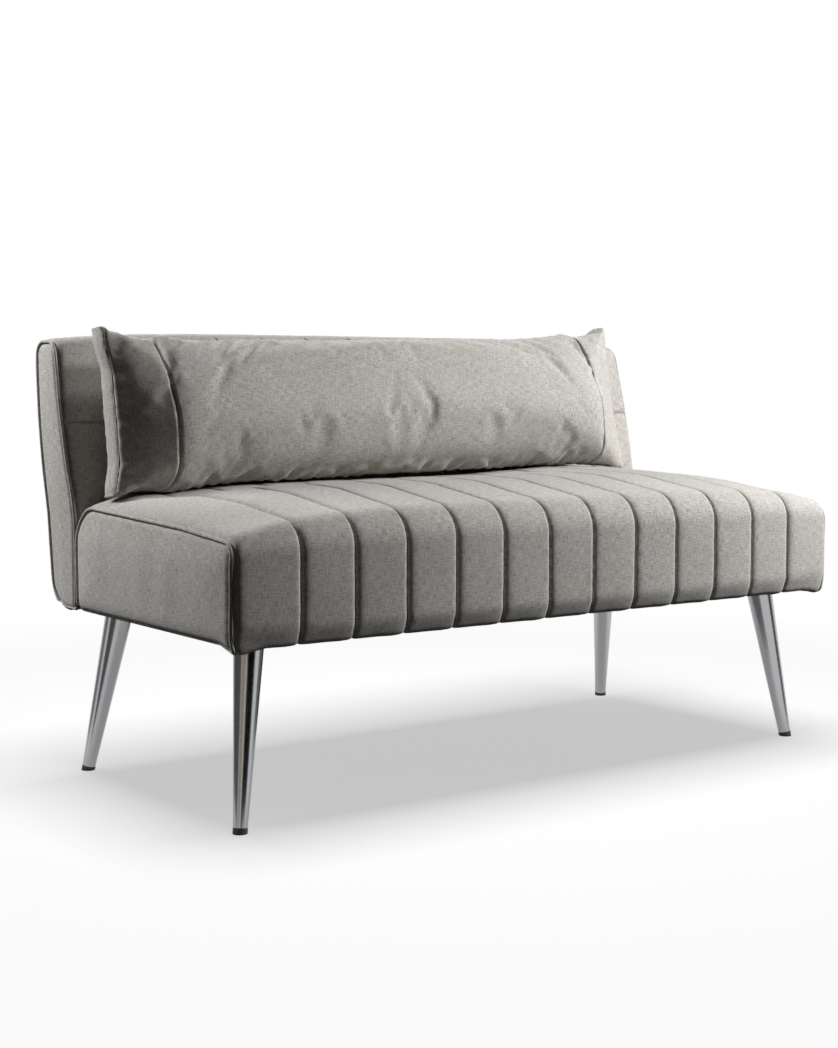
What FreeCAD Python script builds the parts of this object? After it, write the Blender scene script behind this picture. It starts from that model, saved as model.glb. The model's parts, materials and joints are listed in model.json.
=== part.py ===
"""Armless two-seat sofa with a channelled seat and back, four splayed tapered legs and one loose bolster.

Millimetres, +Z up, +X along the sofa's length, the sitter faces -Y. Left and right are as seen from the front,
so left is -X. While it is modelled, y is the depth behind the seams of the seat's front face. save_all() then
moves the whole sofa, so that its origin is on the floor under the middle of its outer box.
"""

import FreeCAD, Part
import math
import os

# Overall sizes
SOFA_WIDTH = 1360.0
SEAT_BASE = 303.0
SEAT_FRONT_HEIGHT = 502.0
SEAT_REAR_HEIGHT = 538.0
SEAT_DEPTH = 560.0
BACK_HEIGHT = 808.0
BACK_SETBACK = 52.0
BACK_TOP_THICKNESS = 100.0
BACK_FOOT_THICKNESS = 97.0
BACK_FOOT_RADIUS = 62.0

# Cover and channels
FABRIC = 1.6
FIT = 0.3
CHANNEL_PITCH = 101.6
CHANNEL_BULGE = 7.0
BULGE_SHARPNESS = 3.0
SEAM_WIDTH_SHARE = 0.06
CORNER_ROOM = 0.96
WELT_RADIUS = 2.75
WELT_INSET = 1.2
WELT_SETBACK = 1.0
HEM_WIDTH = 34.0
HEM_RADIUS = 6.0
SIDE_CROWN = 6.0
SIDE_EDGE = 1.5
SIDE_CORNER_RADIUS = 10.0
SIDE_FOOT_RADIUS = 6.0
TUCK_RADIUS = 60.0

# Shape of the seat's and the back's outlines
END_FALL_POWER = 5.6
SEAT_END_FALL = 36.0
SEAT_END_SETBACK = 10.0
SEAT_FRONT_RADIUS = 55.0
SEAT_END_RADIUS = 26.0
SEAT_REAR_RADIUS = 60.0
SEAT_CROWN_DEPTH = 200.0
SEAT_CROWN_RADIUS = 500.0
SEAT_TUCK = 6.0
SEAT_TUCK_HEIGHT = 24.0
BACK_END_FALL = 14.0
BACK_END_SETBACK = 22.0
BACK_BEND_DROP = 48.0
BACK_TUCK_DROP = 98.0
BACK_KNEE_RISE = 7.0
BACK_KNEE_DEPTH = 8.5
BACK_KNEE_RADIUS = 240.0
BACK_STEP = 8.0
BACK_STEP_SLOPE = 6.0
BACK_FRONT_RADIUS = 34.0
BACK_REAR_RADIUS = 24.0
BACK_SEAM_DROP = 166.0
BACK_SEAM_DEPTH = 8.0
BACK_SEAM_RADIUS = 14.0
BACK_COVER_TURNDOWN = 42.0

# Timber frame and padding
RAIL = 22.0
RAIL_HEIGHT = 95.0
SEAT_PAD_FRONT = 30.0
SEAT_PAD_SIDE = 25.0
SEAT_PAD_REAR = 12.0
SEAT_TOPPER = 42.0
PAD_CORNER = 0.6
LEG_BOARD = 18.0
LEG_BOARD_WIDTH = 110.0
CROSS_RAIL_HEIGHT = 40.0
CROSS_RAIL_SPREAD = 190.0
CORNER_BLOCK = 62.0
CORNER_BLOCK_DROP = 8.0
BACK_PAD = 14.0
BACK_CORE = 18.0
BACK_HEAD_PAD = 49.0
BACK_FRAME_DROP = 44.0
BACK_TOP_RAIL_HEIGHT = 68.0
BACK_MIDDLE_RAIL_HEIGHT = 45.0
BACK_BOARD = 3.0
FRAME_CLEAR = 10.0
CENTRE_STILE_SPREAD = 225.0
CENTRE_STILE_FOOT = 48.0
CENTRE_STILE_HEAD = 12.0
DUST_COVER = 0.6
DUST_COVER_LAP = 8.0

# Springs and webbing
SPRING_COUNT = 8
SPRING_GAP = 152.4
SPRING_WIRE = 1.9
SPRING_LOOPS = 18
SPRING_WIDTH = 46.0
CLIP_WIDTH = 14.0
CLIP_GAUGE = 1.5
CLIP_PLAY = 0.1
SPRING_HOLD = 13.2
TIE_ROD_RADIUS = 1.5
SPRING_PAD = 4.0
STRAP_COUNT = 6
STRAP_GAP = 211.0
STRAP_WIDTH = 50.0
STRAP_GAUGE = 1.6
STRAP_LAP = 40.0

# Legs
LEG_FOOT_INSET = 44.0
LEG_FOOT_FRONT = 64.0
LEG_FOOT_REAR = 39.0
LEG_SPLAY_FRONT = 40.0
LEG_SPLAY_REAR = 56.0
LEG_TOP_RADIUS = 25.5
LEG_FOOT_RADIUS = 11.5
LEG_WALL = 1.5
LEG_PLATE = 3.0
LEG_PLATE_WIDTH = 78.0
LEG_PLATE_MARGIN = 1.0
PLATE_RECESS = FABRIC + 0.4
PLATE_SCREW_INSET = 12.0
SCREW_RADIUS = 2.4
SCREW_LENGTH = 16.0
SCREW_HEAD_RADIUS = 4.6
SCREW_HEAD = 2.2
SCREW_HEAD_ROUNDING = 1.2
GLIDE_HEIGHT = 9.0
GLIDE_PLUG = 16.0
GLIDE_LIP = 0.7
GLIDE_PLAY = 0.05

# Bolts that hold the back to the seat
BACK_BOLT_RADIUS = 4.0
BACK_BOLT_SPREADS = (520.0, 290.0)
BOLT_HEAD_RADIUS = 7.0
BOLT_HEAD = 5.0
BOLT_TAIL = 6.0
WASHER_RADIUS = 12.0
WASHER = 2.0
NUT_RADIUS = 8.0
NUT = 7.0

# Bolster
BOLSTER_LENGTH = 1190.0
BOLSTER_HEIGHT = 300.0
BOLSTER_WAIST_HEIGHT = 252.0
BOLSTER_THICKNESS = 184.0
BOLSTER_END_THICKNESS = 48.0
BOLSTER_END_POWER = 14.0
BOLSTER_OFFSET = -55.0
BOLSTER_LEAN = 7.4
BOLSTER_TILT = 0.8
BOLSTER_TOP_POWER = 4.5
BOLSTER_BOTTOM_POWER = 8.0
BOLSTER_SEAM_INSET = 92.0
BOLSTER_SEAM_CORD = 1.8
BOLSTER_CORD_BEND = 2.7
BOLSTER_WELT_RADIUS = 2.5
END_PANEL_CROWN = 2.5
END_PANEL_SLOPE = 5.0

# The bolster's section as (share of half thickness, share of half height, corner radius), full and at its ends
BOLSTER_FULL = [
    (-1.035, -0.21, 120.0),
    (-0.645, 0.70, 120.0),
    (0.0, 1.02, 22.0),
    (0.645, 0.70, 120.0),
    (1.035, -0.21, 120.0),
    (0.82, -0.92, 55.0),
    (0.0, -1.0, 300.0),
    (-0.82, -0.92, 55.0),
]
BOLSTER_END = [
    (-1.0, -0.21, 200.0),
    (-0.96, 0.985, 9.0),
    (0.0, 1.0, 300.0),
    (0.96, 0.985, 9.0),
    (1.0, -0.21, 200.0),
    (0.96, -0.955, 9.0),
    (0.0, -0.97, 300.0),
    (-0.96, -0.955, 9.0),
]
BOLSTER_SHARES = (-1.0, -0.994, -0.975, -0.93, -0.85, -0.6, 0.0, 0.6, 0.85, 0.93, 0.975, 0.994, 1.0)

# Places worked out from the sizes above
HALF = SOFA_WIDTH / 2
CHANNELS = int(SOFA_WIDTH // CHANNEL_PITCH)
WELT_X = HALF - WELT_SETBACK
BAND_END = WELT_X - WELT_RADIUS - FIT
SIDE_PLANE = HALF - WELT_RADIUS + FIT
SIDE_PAD_FACE = WELT_X - WELT_RADIUS - FIT
SIDE_MARGIN = WELT_INSET + WELT_RADIUS + 2 * FIT
FRAME_HALF = HALF - SEAT_PAD_SIDE
FRAME_INNER = FRAME_HALF - RAIL
PLATE_BASE = SEAT_BASE + PLATE_RECESS
PLATE_TOP = PLATE_BASE + LEG_PLATE
FRAME_BASE = PLATE_TOP + DUST_COVER
BOARD_TOP = FRAME_BASE + LEG_BOARD
RAIL_TOP = SEAT_BASE + RAIL_HEIGHT
SEAT_PAD_TOP = SEAT_FRONT_HEIGHT - SEAT_TOPPER
SEAT_PAD_BACK = SEAT_DEPTH - SEAT_PAD_REAR
BACK_BEND_HEIGHT = SEAT_REAR_HEIGHT - BACK_BEND_DROP
BACK_TUCK_HEIGHT = SEAT_REAR_HEIGHT - BACK_TUCK_DROP
BACK_KNEE_HEIGHT = SEAT_REAR_HEIGHT + BACK_KNEE_RISE
BACK_SEAM_HEIGHT = BACK_HEIGHT - BACK_SEAM_DROP
BACK_FRAME_TOP = BACK_HEIGHT - BACK_FRAME_DROP
BACK_COVER_END = BACK_HEIGHT - BACK_COVER_TURNDOWN
BACK_FRONT = SEAT_DEPTH + 2 * (WELT_RADIUS - WELT_INSET) + FIT
BACK_TOP_FRONT = SEAT_DEPTH + BACK_SETBACK
BACK_TOP_REAR = BACK_TOP_FRONT + BACK_TOP_THICKNESS
BACK_FOOT_REAR = SEAT_DEPTH + BACK_FOOT_THICKNESS
REAR_LEAN = (BACK_TOP_REAR - BACK_FOOT_REAR) / (BACK_HEIGHT - SEAT_BASE)
FRAME_START = SEAT_DEPTH + BACK_PAD + BACK_CORE
FRAME_LEAN = (BACK_TOP_FRONT + BACK_HEAD_PAD - FRAME_START) / (BACK_FRAME_TOP - BACK_BEND_HEIGHT)
FOOT_CURVE_TOP = SEAT_BASE + BACK_FOOT_RADIUS + FRAME_CLEAR
FRAME_REAR = BACK_FOOT_REAR - 0.72 * BACK_FOOT_RADIUS
SPRING_Z = RAIL_TOP + CLIP_GAUGE + SPRING_WIRE
SPRING_FRONT = SEAT_PAD_FRONT + SPRING_HOLD
SPRING_REAR = SEAT_DEPTH - SPRING_HOLD
LEG_TOP_X = FRAME_INNER - LEG_PLATE_MARGIN - LEG_PLATE_WIDTH / 2
SKIN = FABRIC + FIT

LEGS = (("front_left", True, -1), ("front_right", True, 1), ("rear_left", False, -1), ("rear_right", False, 1))
PARTS = "parts"
pieces = {}


def add(name, shape):
    pieces[name] = shape


def at(x, point):
    return FreeCAD.Vector(x, point[0], point[1])


def box(x0, x1, y0, y1, z0, z1):
    return Part.makeBox(x1 - x0, y1 - y0, z1 - z0, FreeCAD.Vector(x0, y0, z0))


def rod(start, end, radius):
    start, end = FreeCAD.Vector(*start), FreeCAD.Vector(*end)
    return Part.makeCylinder(radius, (end - start).Length, start, end - start)


def unit(a, b):
    length = math.hypot(b[0] - a[0], b[1] - a[1])
    return (b[0] - a[0]) / length, (b[1] - a[1]) / length


def half_turn(before, here, after):
    """Half the angle between the two sides of the corner here."""
    back, ahead = unit(here, before), unit(here, after)
    return math.acos(max(-1.0, min(1.0, back[0] * ahead[0] + back[1] * ahead[1]))) / 2


def corner_reaches(path, closed):
    """How far each corner's rounding reaches along its sides. Roundings that would meet share their side."""
    count = len(path)
    reaches = [0.0] * count
    for i in range(count) if closed else range(1, count - 1):
        reaches[i] = path[i][2] / math.tan(half_turn(path[i - 1], path[i], path[(i + 1) % count]))
    shares = [1.0] * count
    for i in range(count) if closed else range(count - 1):
        other = (i + 1) % count
        room = CORNER_ROOM * math.dist(path[i][:2], path[other][:2])
        share = room / max(reaches[i] + reaches[other], room)
        shares[i], shares[other] = min(shares[i], share), min(shares[other], share)
    return [reach * share for reach, share in zip(reaches, shares)]


def corner_arc(before, here, after, reach):
    """Start, peak and end of the arc that rounds the corner here, reach along each side."""
    back, ahead = unit(here, before), unit(here, after)
    half = half_turn(before, here, after)
    depth = reach * (1 / math.cos(half) - math.tan(half))
    middle = (back[0] + ahead[0], back[1] + ahead[1])
    size = math.hypot(*middle)
    start = (here[0] + back[0] * reach, here[1] + back[1] * reach)
    peak = (here[0] + middle[0] / size * depth, here[1] + middle[1] / size * depth)
    end = (here[0] + ahead[0] * reach, here[1] + ahead[1] * reach)
    return start, peak, end


def rounded(path, x, closed=False):
    """Edges in the plane at x: lines and tangent arcs through a path of (y, z, radius) corners."""
    count = len(path)
    corners = range(count) if closed else range(1, count - 1)
    reaches = corner_reaches(path, closed)
    arcs = [corner_arc(path[i - 1], path[i], path[(i + 1) % count], reaches[i]) for i in corners]
    edges = []
    last = arcs[-1][2] if closed else path[0][:2]
    for start, peak, end in arcs:
        edges.append(Part.LineSegment(at(x, last), at(x, start)).toShape())
        edges.append(Part.Arc(at(x, start), at(x, peak), at(x, end)).toShape())
        last = end
    if not closed:
        edges.append(Part.LineSegment(at(x, last), at(x, path[-1])).toShape())
    return edges


def inward(path, depth, closed=False):
    """The path moved to its right by depth, which is towards the inside of every outline here."""
    count = len(path)
    moved = []
    for i, here in enumerate(path):
        first = unit(path[i - 1], here) if closed or i > 0 else unit(here, path[1])
        second = unit(here, path[(i + 1) % count]) if closed or i < count - 1 else first
        sum_y, sum_z = first[1] + second[1], -first[0] - second[0]
        scale = 2 * depth / (sum_y * sum_y + sum_z * sum_z)
        moved.append((here[0] + sum_y * scale, here[1] + sum_z * scale, max(here[2] - depth, 0.6)))
    return moved


def band_wire(outer, inner, x):
    """A closed wire between an outer path and a path inside it."""
    inner = inner[::-1]
    edges = rounded(outer, x)
    edges.append(Part.LineSegment(at(x, outer[-1]), at(x, inner[0])).toShape())
    edges += rounded(inner, x)
    edges.append(Part.LineSegment(at(x, inner[-1]), at(x, outer[0])).toShape())
    return Part.Wire(edges)


def polygon(points, x0, x1):
    """A solid with straight sides through (y, z) points, from x0 to x1."""
    corners = [at(x0, p) for p in points]
    return Part.Face(Part.makePolygon(corners + corners[:1])).extrude(FreeCAD.Vector(x1 - x0, 0, 0))


def tube(edges, radius):
    """A round tube along joined edges."""
    wire = Part.Wire(edges)
    first = edges[0]
    ahead = first.valueAt(first.LastParameter) - first.valueAt(first.FirstParameter)
    ring = Part.Wire(Part.makeCircle(radius, first.valueAt(first.FirstParameter), ahead))
    return wire.makePipeShell([ring], True, False)


def mirrored(shape):
    return shape.mirror(FreeCAD.Vector(), FreeCAD.Vector(1, 0, 0))


def end_share(x):
    """How far the crown has fallen at x: 0 over the middle, 1 at the end welts."""
    return min(abs(x) / HALF, 1.0) ** END_FALL_POWER


def mixed(middle, end, share):
    return [tuple(a + share * (b - a) for a, b in zip(p, q)) for p, q in zip(middle, end)]


def seat_path(x, bulge=0.0):
    """The seat cover's outline at x, from the bottom of the front over the top and down behind."""
    crown = SEAT_FRONT_HEIGHT + 0.8 * (SEAT_REAR_HEIGHT - SEAT_FRONT_HEIGHT)
    tuck_height = SEAT_BASE + SEAT_TUCK_HEIGHT
    front_fall, crown_fall = 0.78 * SEAT_END_FALL, 1.15 * SEAT_END_FALL
    middle = [
        (SEAT_TUCK - bulge, SEAT_BASE, 0.0),
        (-bulge, tuck_height, TUCK_RADIUS),
        (-bulge, SEAT_FRONT_HEIGHT + bulge, SEAT_FRONT_RADIUS),
        (SEAT_CROWN_DEPTH, crown + bulge, SEAT_CROWN_RADIUS),
        (SEAT_DEPTH, SEAT_REAR_HEIGHT + bulge, SEAT_REAR_RADIUS),
        (SEAT_DEPTH, BACK_TUCK_HEIGHT, 0.0),
    ]
    end = [
        (SEAT_END_SETBACK + SEAT_TUCK / 3 - bulge, SEAT_BASE, 0.0),
        (SEAT_END_SETBACK - bulge, tuck_height, TUCK_RADIUS),
        (SEAT_END_SETBACK - bulge, SEAT_FRONT_HEIGHT - front_fall + bulge, SEAT_END_RADIUS),
        (0.9 * SEAT_CROWN_DEPTH, crown - crown_fall + bulge, SEAT_CROWN_RADIUS),
        (SEAT_DEPTH, SEAT_REAR_HEIGHT - SEAT_END_FALL + bulge, SEAT_REAR_RADIUS),
        (SEAT_DEPTH, BACK_TUCK_HEIGHT, 0.0),
    ]
    return mixed(middle, end, end_share(x))


def back_path(x, bulge=0.0):
    """The back cover's outline at x, from where it is tucked behind the seat, over the top and down behind."""
    share = end_share(x)
    top = BACK_HEIGHT - share * BACK_END_FALL
    return [
        (BACK_FRONT, BACK_TUCK_HEIGHT, 0.0),
        (BACK_FRONT, BACK_BEND_HEIGHT, BACK_KNEE_RADIUS),
        (BACK_FRONT + BACK_KNEE_DEPTH - bulge, BACK_KNEE_HEIGHT, BACK_KNEE_RADIUS),
        (BACK_TOP_FRONT + share * BACK_END_SETBACK - bulge, top + bulge, BACK_FRONT_RADIUS),
        (BACK_TOP_REAR, top + bulge, BACK_REAR_RADIUS),
        (rear_y(BACK_COVER_END), BACK_COVER_END, 0.0),
    ]


def back_row(x, bulge, upper):
    """One row of the back's channels at x. Both rows turn in to the seam between them."""
    path = back_path(x, bulge)
    (y0, z0, _), (y1, z1, _) = path[2], path[3]
    y = y0 + (y1 - y0) * (BACK_SEAM_HEIGHT - z0) / (z1 - z0)
    turn = (y, BACK_SEAM_HEIGHT, BACK_SEAM_RADIUS)
    seam = (back_front(x, BACK_SEAM_HEIGHT, 0.0) + BACK_SEAM_DEPTH, BACK_SEAM_HEIGHT, 0.0)
    return [seam, turn] + path[3:] if upper else path[:3] + [turn, seam]


def rear_y(z):
    """Depth of the back's rear face at height z."""
    return BACK_TOP_REAR - (BACK_HEIGHT - z) * REAR_LEAN


def frame_front(z, depth=0.0):
    """Depth of the back frame's front plane at height z: upright at first, then leaning."""
    return FRAME_START + depth + max(0.0, z - BACK_BEND_HEIGHT) * FRAME_LEAN


def seams():
    """The x of every channel seam, with the two ends of the band first and last."""
    inner = CHANNELS - 1
    return [-BAND_END] + [(i - (inner - 1) / 2) * CHANNEL_PITCH for i in range(inner)] + [BAND_END]


def channel(x0, x1, wire_at):
    """One channel between two seams: it bulges by CHANNEL_BULGE in its middle and not at all at its seams."""
    wires = []
    for share in (0.0, SEAM_WIDTH_SHARE, 0.25, 0.5, 0.75, 1 - SEAM_WIDTH_SHARE, 1.0):
        bulge = CHANNEL_BULGE * (1 - abs(2 * share - 1) ** BULGE_SHARPNESS)
        wires.append(wire_at(x0 + share * (x1 - x0), bulge))
    return Part.makeLoft(wires, True, False)


def channels(*wires_at):
    edges = seams()
    return Part.makeCompound([channel(a, b, wire_at) for wire_at in wires_at for a, b in zip(edges, edges[1:])])


def seat_cover_wire(x, bulge):
    """Fabric, with a hem that turns in under the front rail."""
    outer = seat_path(x, bulge)
    first = outer[0]
    outer = [(SEAT_TUCK + HEM_WIDTH, first[1], 0.0), (first[0], first[1], HEM_RADIUS)] + outer[1:]
    return band_wire(outer, inward(outer, FABRIC), x)


def seat_pad_wire(x, bulge):
    outer = inward(seat_path(x, bulge), SKIN)
    low = FRAME_BASE + FIT
    outer[0] = (outer[0][0], low, 0.0)
    inner = [
        (SEAT_PAD_FRONT - FIT, low, 0.0),
        (SEAT_PAD_FRONT - FIT, SEAT_PAD_TOP + FIT, PAD_CORNER),
        (SEAT_PAD_BACK, SEAT_PAD_TOP + FIT, PAD_CORNER),
        (SEAT_PAD_BACK, BACK_TUCK_HEIGHT, 0.0),
    ]
    return band_wire(outer, inner, x)


def lower_cover_wire(x, bulge):
    outer = back_row(x, bulge, False)
    return band_wire(outer, inward(outer, FABRIC), x)


def upper_cover_wire(x, bulge):
    outer = back_row(x, bulge, True)
    return band_wire(outer, inward(outer, FABRIC), x)


def lower_pad_wire(x, bulge):
    outer = inward(back_row(x, bulge, False), SKIN + FIT)
    core = -BACK_CORE - FIT
    inner = [(frame_front(z, core), z, PAD_CORNER) for z in (BACK_TUCK_HEIGHT, BACK_BEND_HEIGHT, outer[-1][1])]
    return band_wire(outer, inner, x)


def upper_pad_wire(x, bulge):
    outer = inward(back_row(x, bulge, True), SKIN + FIT)
    core = -BACK_CORE - FIT
    cap = BACK_FRAME_TOP + FIT
    outer[-1] = (rear_y(cap) - SKIN - FIT, cap, 0.0)
    inner = [(frame_front(z, core), z, 0.0) for z in (outer[0][1], cap)]
    return band_wire(outer, inner, x)


def side_panel(outline, crown, flat_inset):
    """A side cover with batting at +x: flat inside, raised outside in two steps."""
    outline = inward(outline, SIDE_MARGIN, closed=True)
    edge = SIDE_PLANE + SIDE_EDGE
    levels = (
        (SIDE_PLANE, 0.0),
        (edge, 0.0),
        (edge + 0.72 * crown, 0.3 * flat_inset),
        (edge + crown, flat_inset),
    )
    wires = [Part.Wire(rounded(inward(outline, inset, closed=True), x, closed=True)) for x, inset in levels]
    return Part.makeLoft(wires, True, True)


def seat_side_outline():
    first, _, top, crown, rear, _ = seat_path(HALF)
    front, rear_foot = (*first[:2], SIDE_CORNER_RADIUS), (SEAT_DEPTH, SEAT_BASE, SIDE_CORNER_RADIUS)
    return [front, top, crown, rear, rear_foot]


def back_side_outline():
    _, bend, _, top, rear, _ = back_path(HALF)
    front = (BACK_FRONT, SEAT_BASE, SIDE_FOOT_RADIUS)
    return [front, bend, top, rear, (BACK_FOOT_REAR, SEAT_BASE, BACK_FOOT_RADIUS)]


def side_welt(outline):
    """Piping round a side panel, just inside its outline, as a closed tube."""
    return tube(rounded(inward(outline, WELT_INSET, closed=True), WELT_X, closed=True), WELT_RADIUS)


def leg_points(front, side):
    """Centre of the foot on the floor and of the leg's top under its plate."""
    foot_y = LEG_FOOT_FRONT if front else BACK_FOOT_REAR - LEG_FOOT_REAR
    splay = LEG_SPLAY_FRONT if front else -LEG_SPLAY_REAR
    foot = FreeCAD.Vector(side * (HALF - LEG_FOOT_INSET), foot_y, 0)
    top = FreeCAD.Vector(side * LEG_TOP_X, foot_y + splay, PLATE_BASE)
    return foot, top


def leg_cone(foot, top, start, length, shrink):
    """The leg's taper as a solid cone from start along its axis, smaller in radius by shrink."""
    full = (top - foot).Length
    ahead = (top - foot) / full
    slope = (LEG_TOP_RADIUS - LEG_FOOT_RADIUS) / full
    low = LEG_FOOT_RADIUS + slope * start - shrink
    high = low + slope * length
    return Part.makeCone(low, high, length, foot + ahead * start, ahead)


def make_leg(front, side):
    """Hollow tapered tube. Its top is cut level under the plate; its foot is square to the axis."""
    foot, top = leg_points(front, side)
    over = LEG_TOP_RADIUS
    length = (top - foot).Length + over - GLIDE_HEIGHT
    outer = leg_cone(foot, top, GLIDE_HEIGHT, length, 0)
    inner = leg_cone(foot, top, GLIDE_HEIGHT - 1, length + 2, LEG_WALL)
    reach = 2 * LEG_TOP_RADIUS
    above = box(top.x - reach, top.x + reach, top.y - reach, top.y + reach, top.z, top.z + reach)
    return outer.cut(inner).cut(above)


def make_glide(front, side):
    """Plastic glide: a plug inside the tube and a foot that is cut flat on the floor."""
    foot, top = leg_points(front, side)
    ahead = (top - foot).normalize()
    radius = LEG_FOOT_RADIUS + GLIDE_LIP
    pad = Part.makeCylinder(radius, 2 * GLIDE_HEIGHT, foot - ahead * GLIDE_HEIGHT, ahead)
    plug = leg_cone(foot, top, GLIDE_HEIGHT, GLIDE_PLUG, LEG_WALL + GLIDE_PLAY)
    reach = 2 * radius
    under = box(foot.x - reach, foot.x + reach, foot.y - reach, foot.y + reach, -reach, 0)
    return pad.fuse(plug).cut(under).removeSplitter()


def plate_screws(front, side):
    top = leg_points(front, side)[1]
    reach = LEG_PLATE_WIDTH / 2 - PLATE_SCREW_INSET
    return [(top.x + i * reach, top.y + j * reach) for i in (-1, 1) for j in (-1, 1)]


def all_screws():
    return [point for _, front, side in LEGS for point in plate_screws(front, side)]


def screw_holes(shape, z0, z1):
    return shape.cut(Part.makeCompound([rod((x, y, z0), (x, y, z1), SCREW_RADIUS) for x, y in all_screws()]))


def make_leg_plate(front, side):
    top = leg_points(front, side)[1]
    reach = LEG_PLATE_WIDTH / 2
    plate = box(top.x - reach, top.x + reach, top.y - reach, top.y + reach, PLATE_BASE, PLATE_TOP)
    return screw_holes(plate, PLATE_BASE - 1, PLATE_TOP + 1)


def make_leg_screws():
    """Pan head wood screws that hold the leg plates to the leg boards."""
    screws = []
    for x, y in all_screws():
        head = rod((x, y, PLATE_BASE - SCREW_HEAD), (x, y, PLATE_BASE), SCREW_HEAD_RADIUS)
        rim = [e for e in head.Edges if e.BoundBox.ZMax < PLATE_BASE - SCREW_HEAD / 2]
        head = head.makeFillet(SCREW_HEAD_ROUNDING, rim)
        shank = rod((x, y, PLATE_BASE - SCREW_HEAD / 2), (x, y, PLATE_BASE + SCREW_LENGTH), SCREW_RADIUS)
        screws.append(head.fuse(shank).removeSplitter())
    return Part.makeCompound(screws)


def add_legs():
    for name, front, side in LEGS:
        add(name + "_leg", make_leg(front, side))
        add(name + "_glide", make_glide(front, side))
    add("leg_plates", Part.makeCompound([make_leg_plate(front, side) for _, front, side in LEGS]))
    add("leg_screws", make_leg_screws())


def make_leg_board(side):
    """Plywood board under the frame at one end, which carries two legs and the end of the back."""
    low, high = sorted((side * FRAME_INNER, side * (FRAME_INNER - LEG_BOARD_WIDTH)))
    board = box(low, high, SEAT_PAD_FRONT + RAIL, FRAME_REAR, FRAME_BASE, BOARD_TOP)
    return screw_holes(board, FRAME_BASE - 1, PLATE_BASE + SCREW_LENGTH)


def back_bolt_points():
    z = (BOARD_TOP + RAIL_TOP) / 2
    return [(side * spread, z) for side in (-1, 1) for spread in BACK_BOLT_SPREADS]


def bolt_holes(shape):
    near, far = SEAT_DEPTH - RAIL - 1, SEAT_DEPTH + RAIL + 1
    holes = [rod((x, near, z), (x, far, z), BACK_BOLT_RADIUS) for x, z in back_bolt_points()]
    return shape.cut(Part.makeCompound(holes))


def make_bolt(x, z):
    """Hexagon bolt through the back's bottom rail and the seat's rear rail."""
    face = SEAT_DEPTH + RAIL + WASHER
    corners = []
    for turn in range(7):
        angle = turn * math.pi / 3
        across, up = BOLT_HEAD_RADIUS * math.cos(angle), BOLT_HEAD_RADIUS * math.sin(angle)
        corners.append(FreeCAD.Vector(x + across, face, z + up))
    head = Part.Face(Part.makePolygon(corners)).extrude(FreeCAD.Vector(0, BOLT_HEAD, 0))
    tail = SEAT_DEPTH - RAIL - NUT - BOLT_TAIL
    return head.fuse(rod((x, tail, z), (x, face + BOLT_HEAD / 2, z), BACK_BOLT_RADIUS)).removeSplitter()


def collar(x, z, y0, y1, radius):
    return rod((x, y0, z), (x, y1, z), radius).cut(rod((x, y0 - 1, z), (x, y1 + 1, z), BACK_BOLT_RADIUS))


def add_back_bolts():
    points = back_bolt_points()
    near, far = SEAT_DEPTH - RAIL, SEAT_DEPTH + RAIL
    add("back_bolts", Part.makeCompound([make_bolt(x, z) for x, z in points]))
    washers = [collar(x, z, far, far + WASHER, WASHER_RADIUS) for x, z in points]
    add("back_bolt_washers", Part.makeCompound(washers))
    nuts = [collar(x, z, near - NUT, near, NUT_RADIUS) for x, z in points]
    add("back_bolt_nuts", Part.makeCompound(nuts))


def add_seat_frame():
    front = SEAT_PAD_FRONT + RAIL
    rear = SEAT_DEPTH - RAIL
    add("seat_front_rail", box(-FRAME_HALF, FRAME_HALF, SEAT_PAD_FRONT, front, FRAME_BASE, RAIL_TOP))
    add("seat_rear_rail", bolt_holes(box(-FRAME_INNER, FRAME_INNER, rear, SEAT_DEPTH, BOARD_TOP, RAIL_TOP)))
    end_rail = box(FRAME_INNER, FRAME_HALF, front, SEAT_DEPTH, FRAME_BASE, RAIL_TOP)
    add("seat_end_rail_right", end_rail)
    add("seat_end_rail_left", mirrored(end_rail))
    cross_rails = []
    for x in (-CROSS_RAIL_SPREAD, CROSS_RAIL_SPREAD):
        low, high = x - RAIL / 2, x + RAIL / 2
        cross_rails.append(box(low, high, front, rear, BOARD_TOP, BOARD_TOP + CROSS_RAIL_HEIGHT))
    add("seat_cross_rails", Part.makeCompound(cross_rails))
    blocks = []
    height = RAIL_TOP - CORNER_BLOCK_DROP - BOARD_TOP
    for side in (-1, 1):
        for y, ahead in ((front, 1), (rear, -1)):
            x = side * FRAME_INNER
            corners = [(x, y), (x - side * CORNER_BLOCK, y), (x, y + ahead * CORNER_BLOCK), (x, y)]
            face = Part.Face(Part.makePolygon([FreeCAD.Vector(px, py, BOARD_TOP) for px, py in corners]))
            blocks.append(face.extrude(FreeCAD.Vector(0, 0, height)))
    add("corner_blocks", Part.makeCompound(blocks))
    add("leg_board_left", make_leg_board(-1))
    add("leg_board_right", make_leg_board(1))


def spring_places():
    return [(i - (SPRING_COUNT - 1) / 2) * SPRING_GAP for i in range(SPRING_COUNT)]


def make_spring(x):
    """Zigzag wire spring: straight runs joined by half loops, from the front rail to the rear rail."""
    pitch = (SPRING_REAR - SPRING_FRONT) / (SPRING_LOOPS - 1)
    radius = pitch / 2
    reach = SPRING_WIDTH / 2 - radius
    edges = []
    for i in range(SPRING_LOOPS):
        side = 1 if i % 2 == 0 else -1
        y = SPRING_FRONT + i * pitch
        start = FreeCAD.Vector(x - side * reach, y, SPRING_Z)
        turn = FreeCAD.Vector(x + side * reach, y, SPRING_Z)
        edges.append(Part.LineSegment(start, turn).toShape())
        if i < SPRING_LOOPS - 1:
            peak = turn + FreeCAD.Vector(side * radius, radius, 0)
            edges.append(Part.Arc(turn, peak, turn + FreeCAD.Vector(0, pitch, 0)).toShape())
    return tube(edges, SPRING_WIRE)


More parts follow.
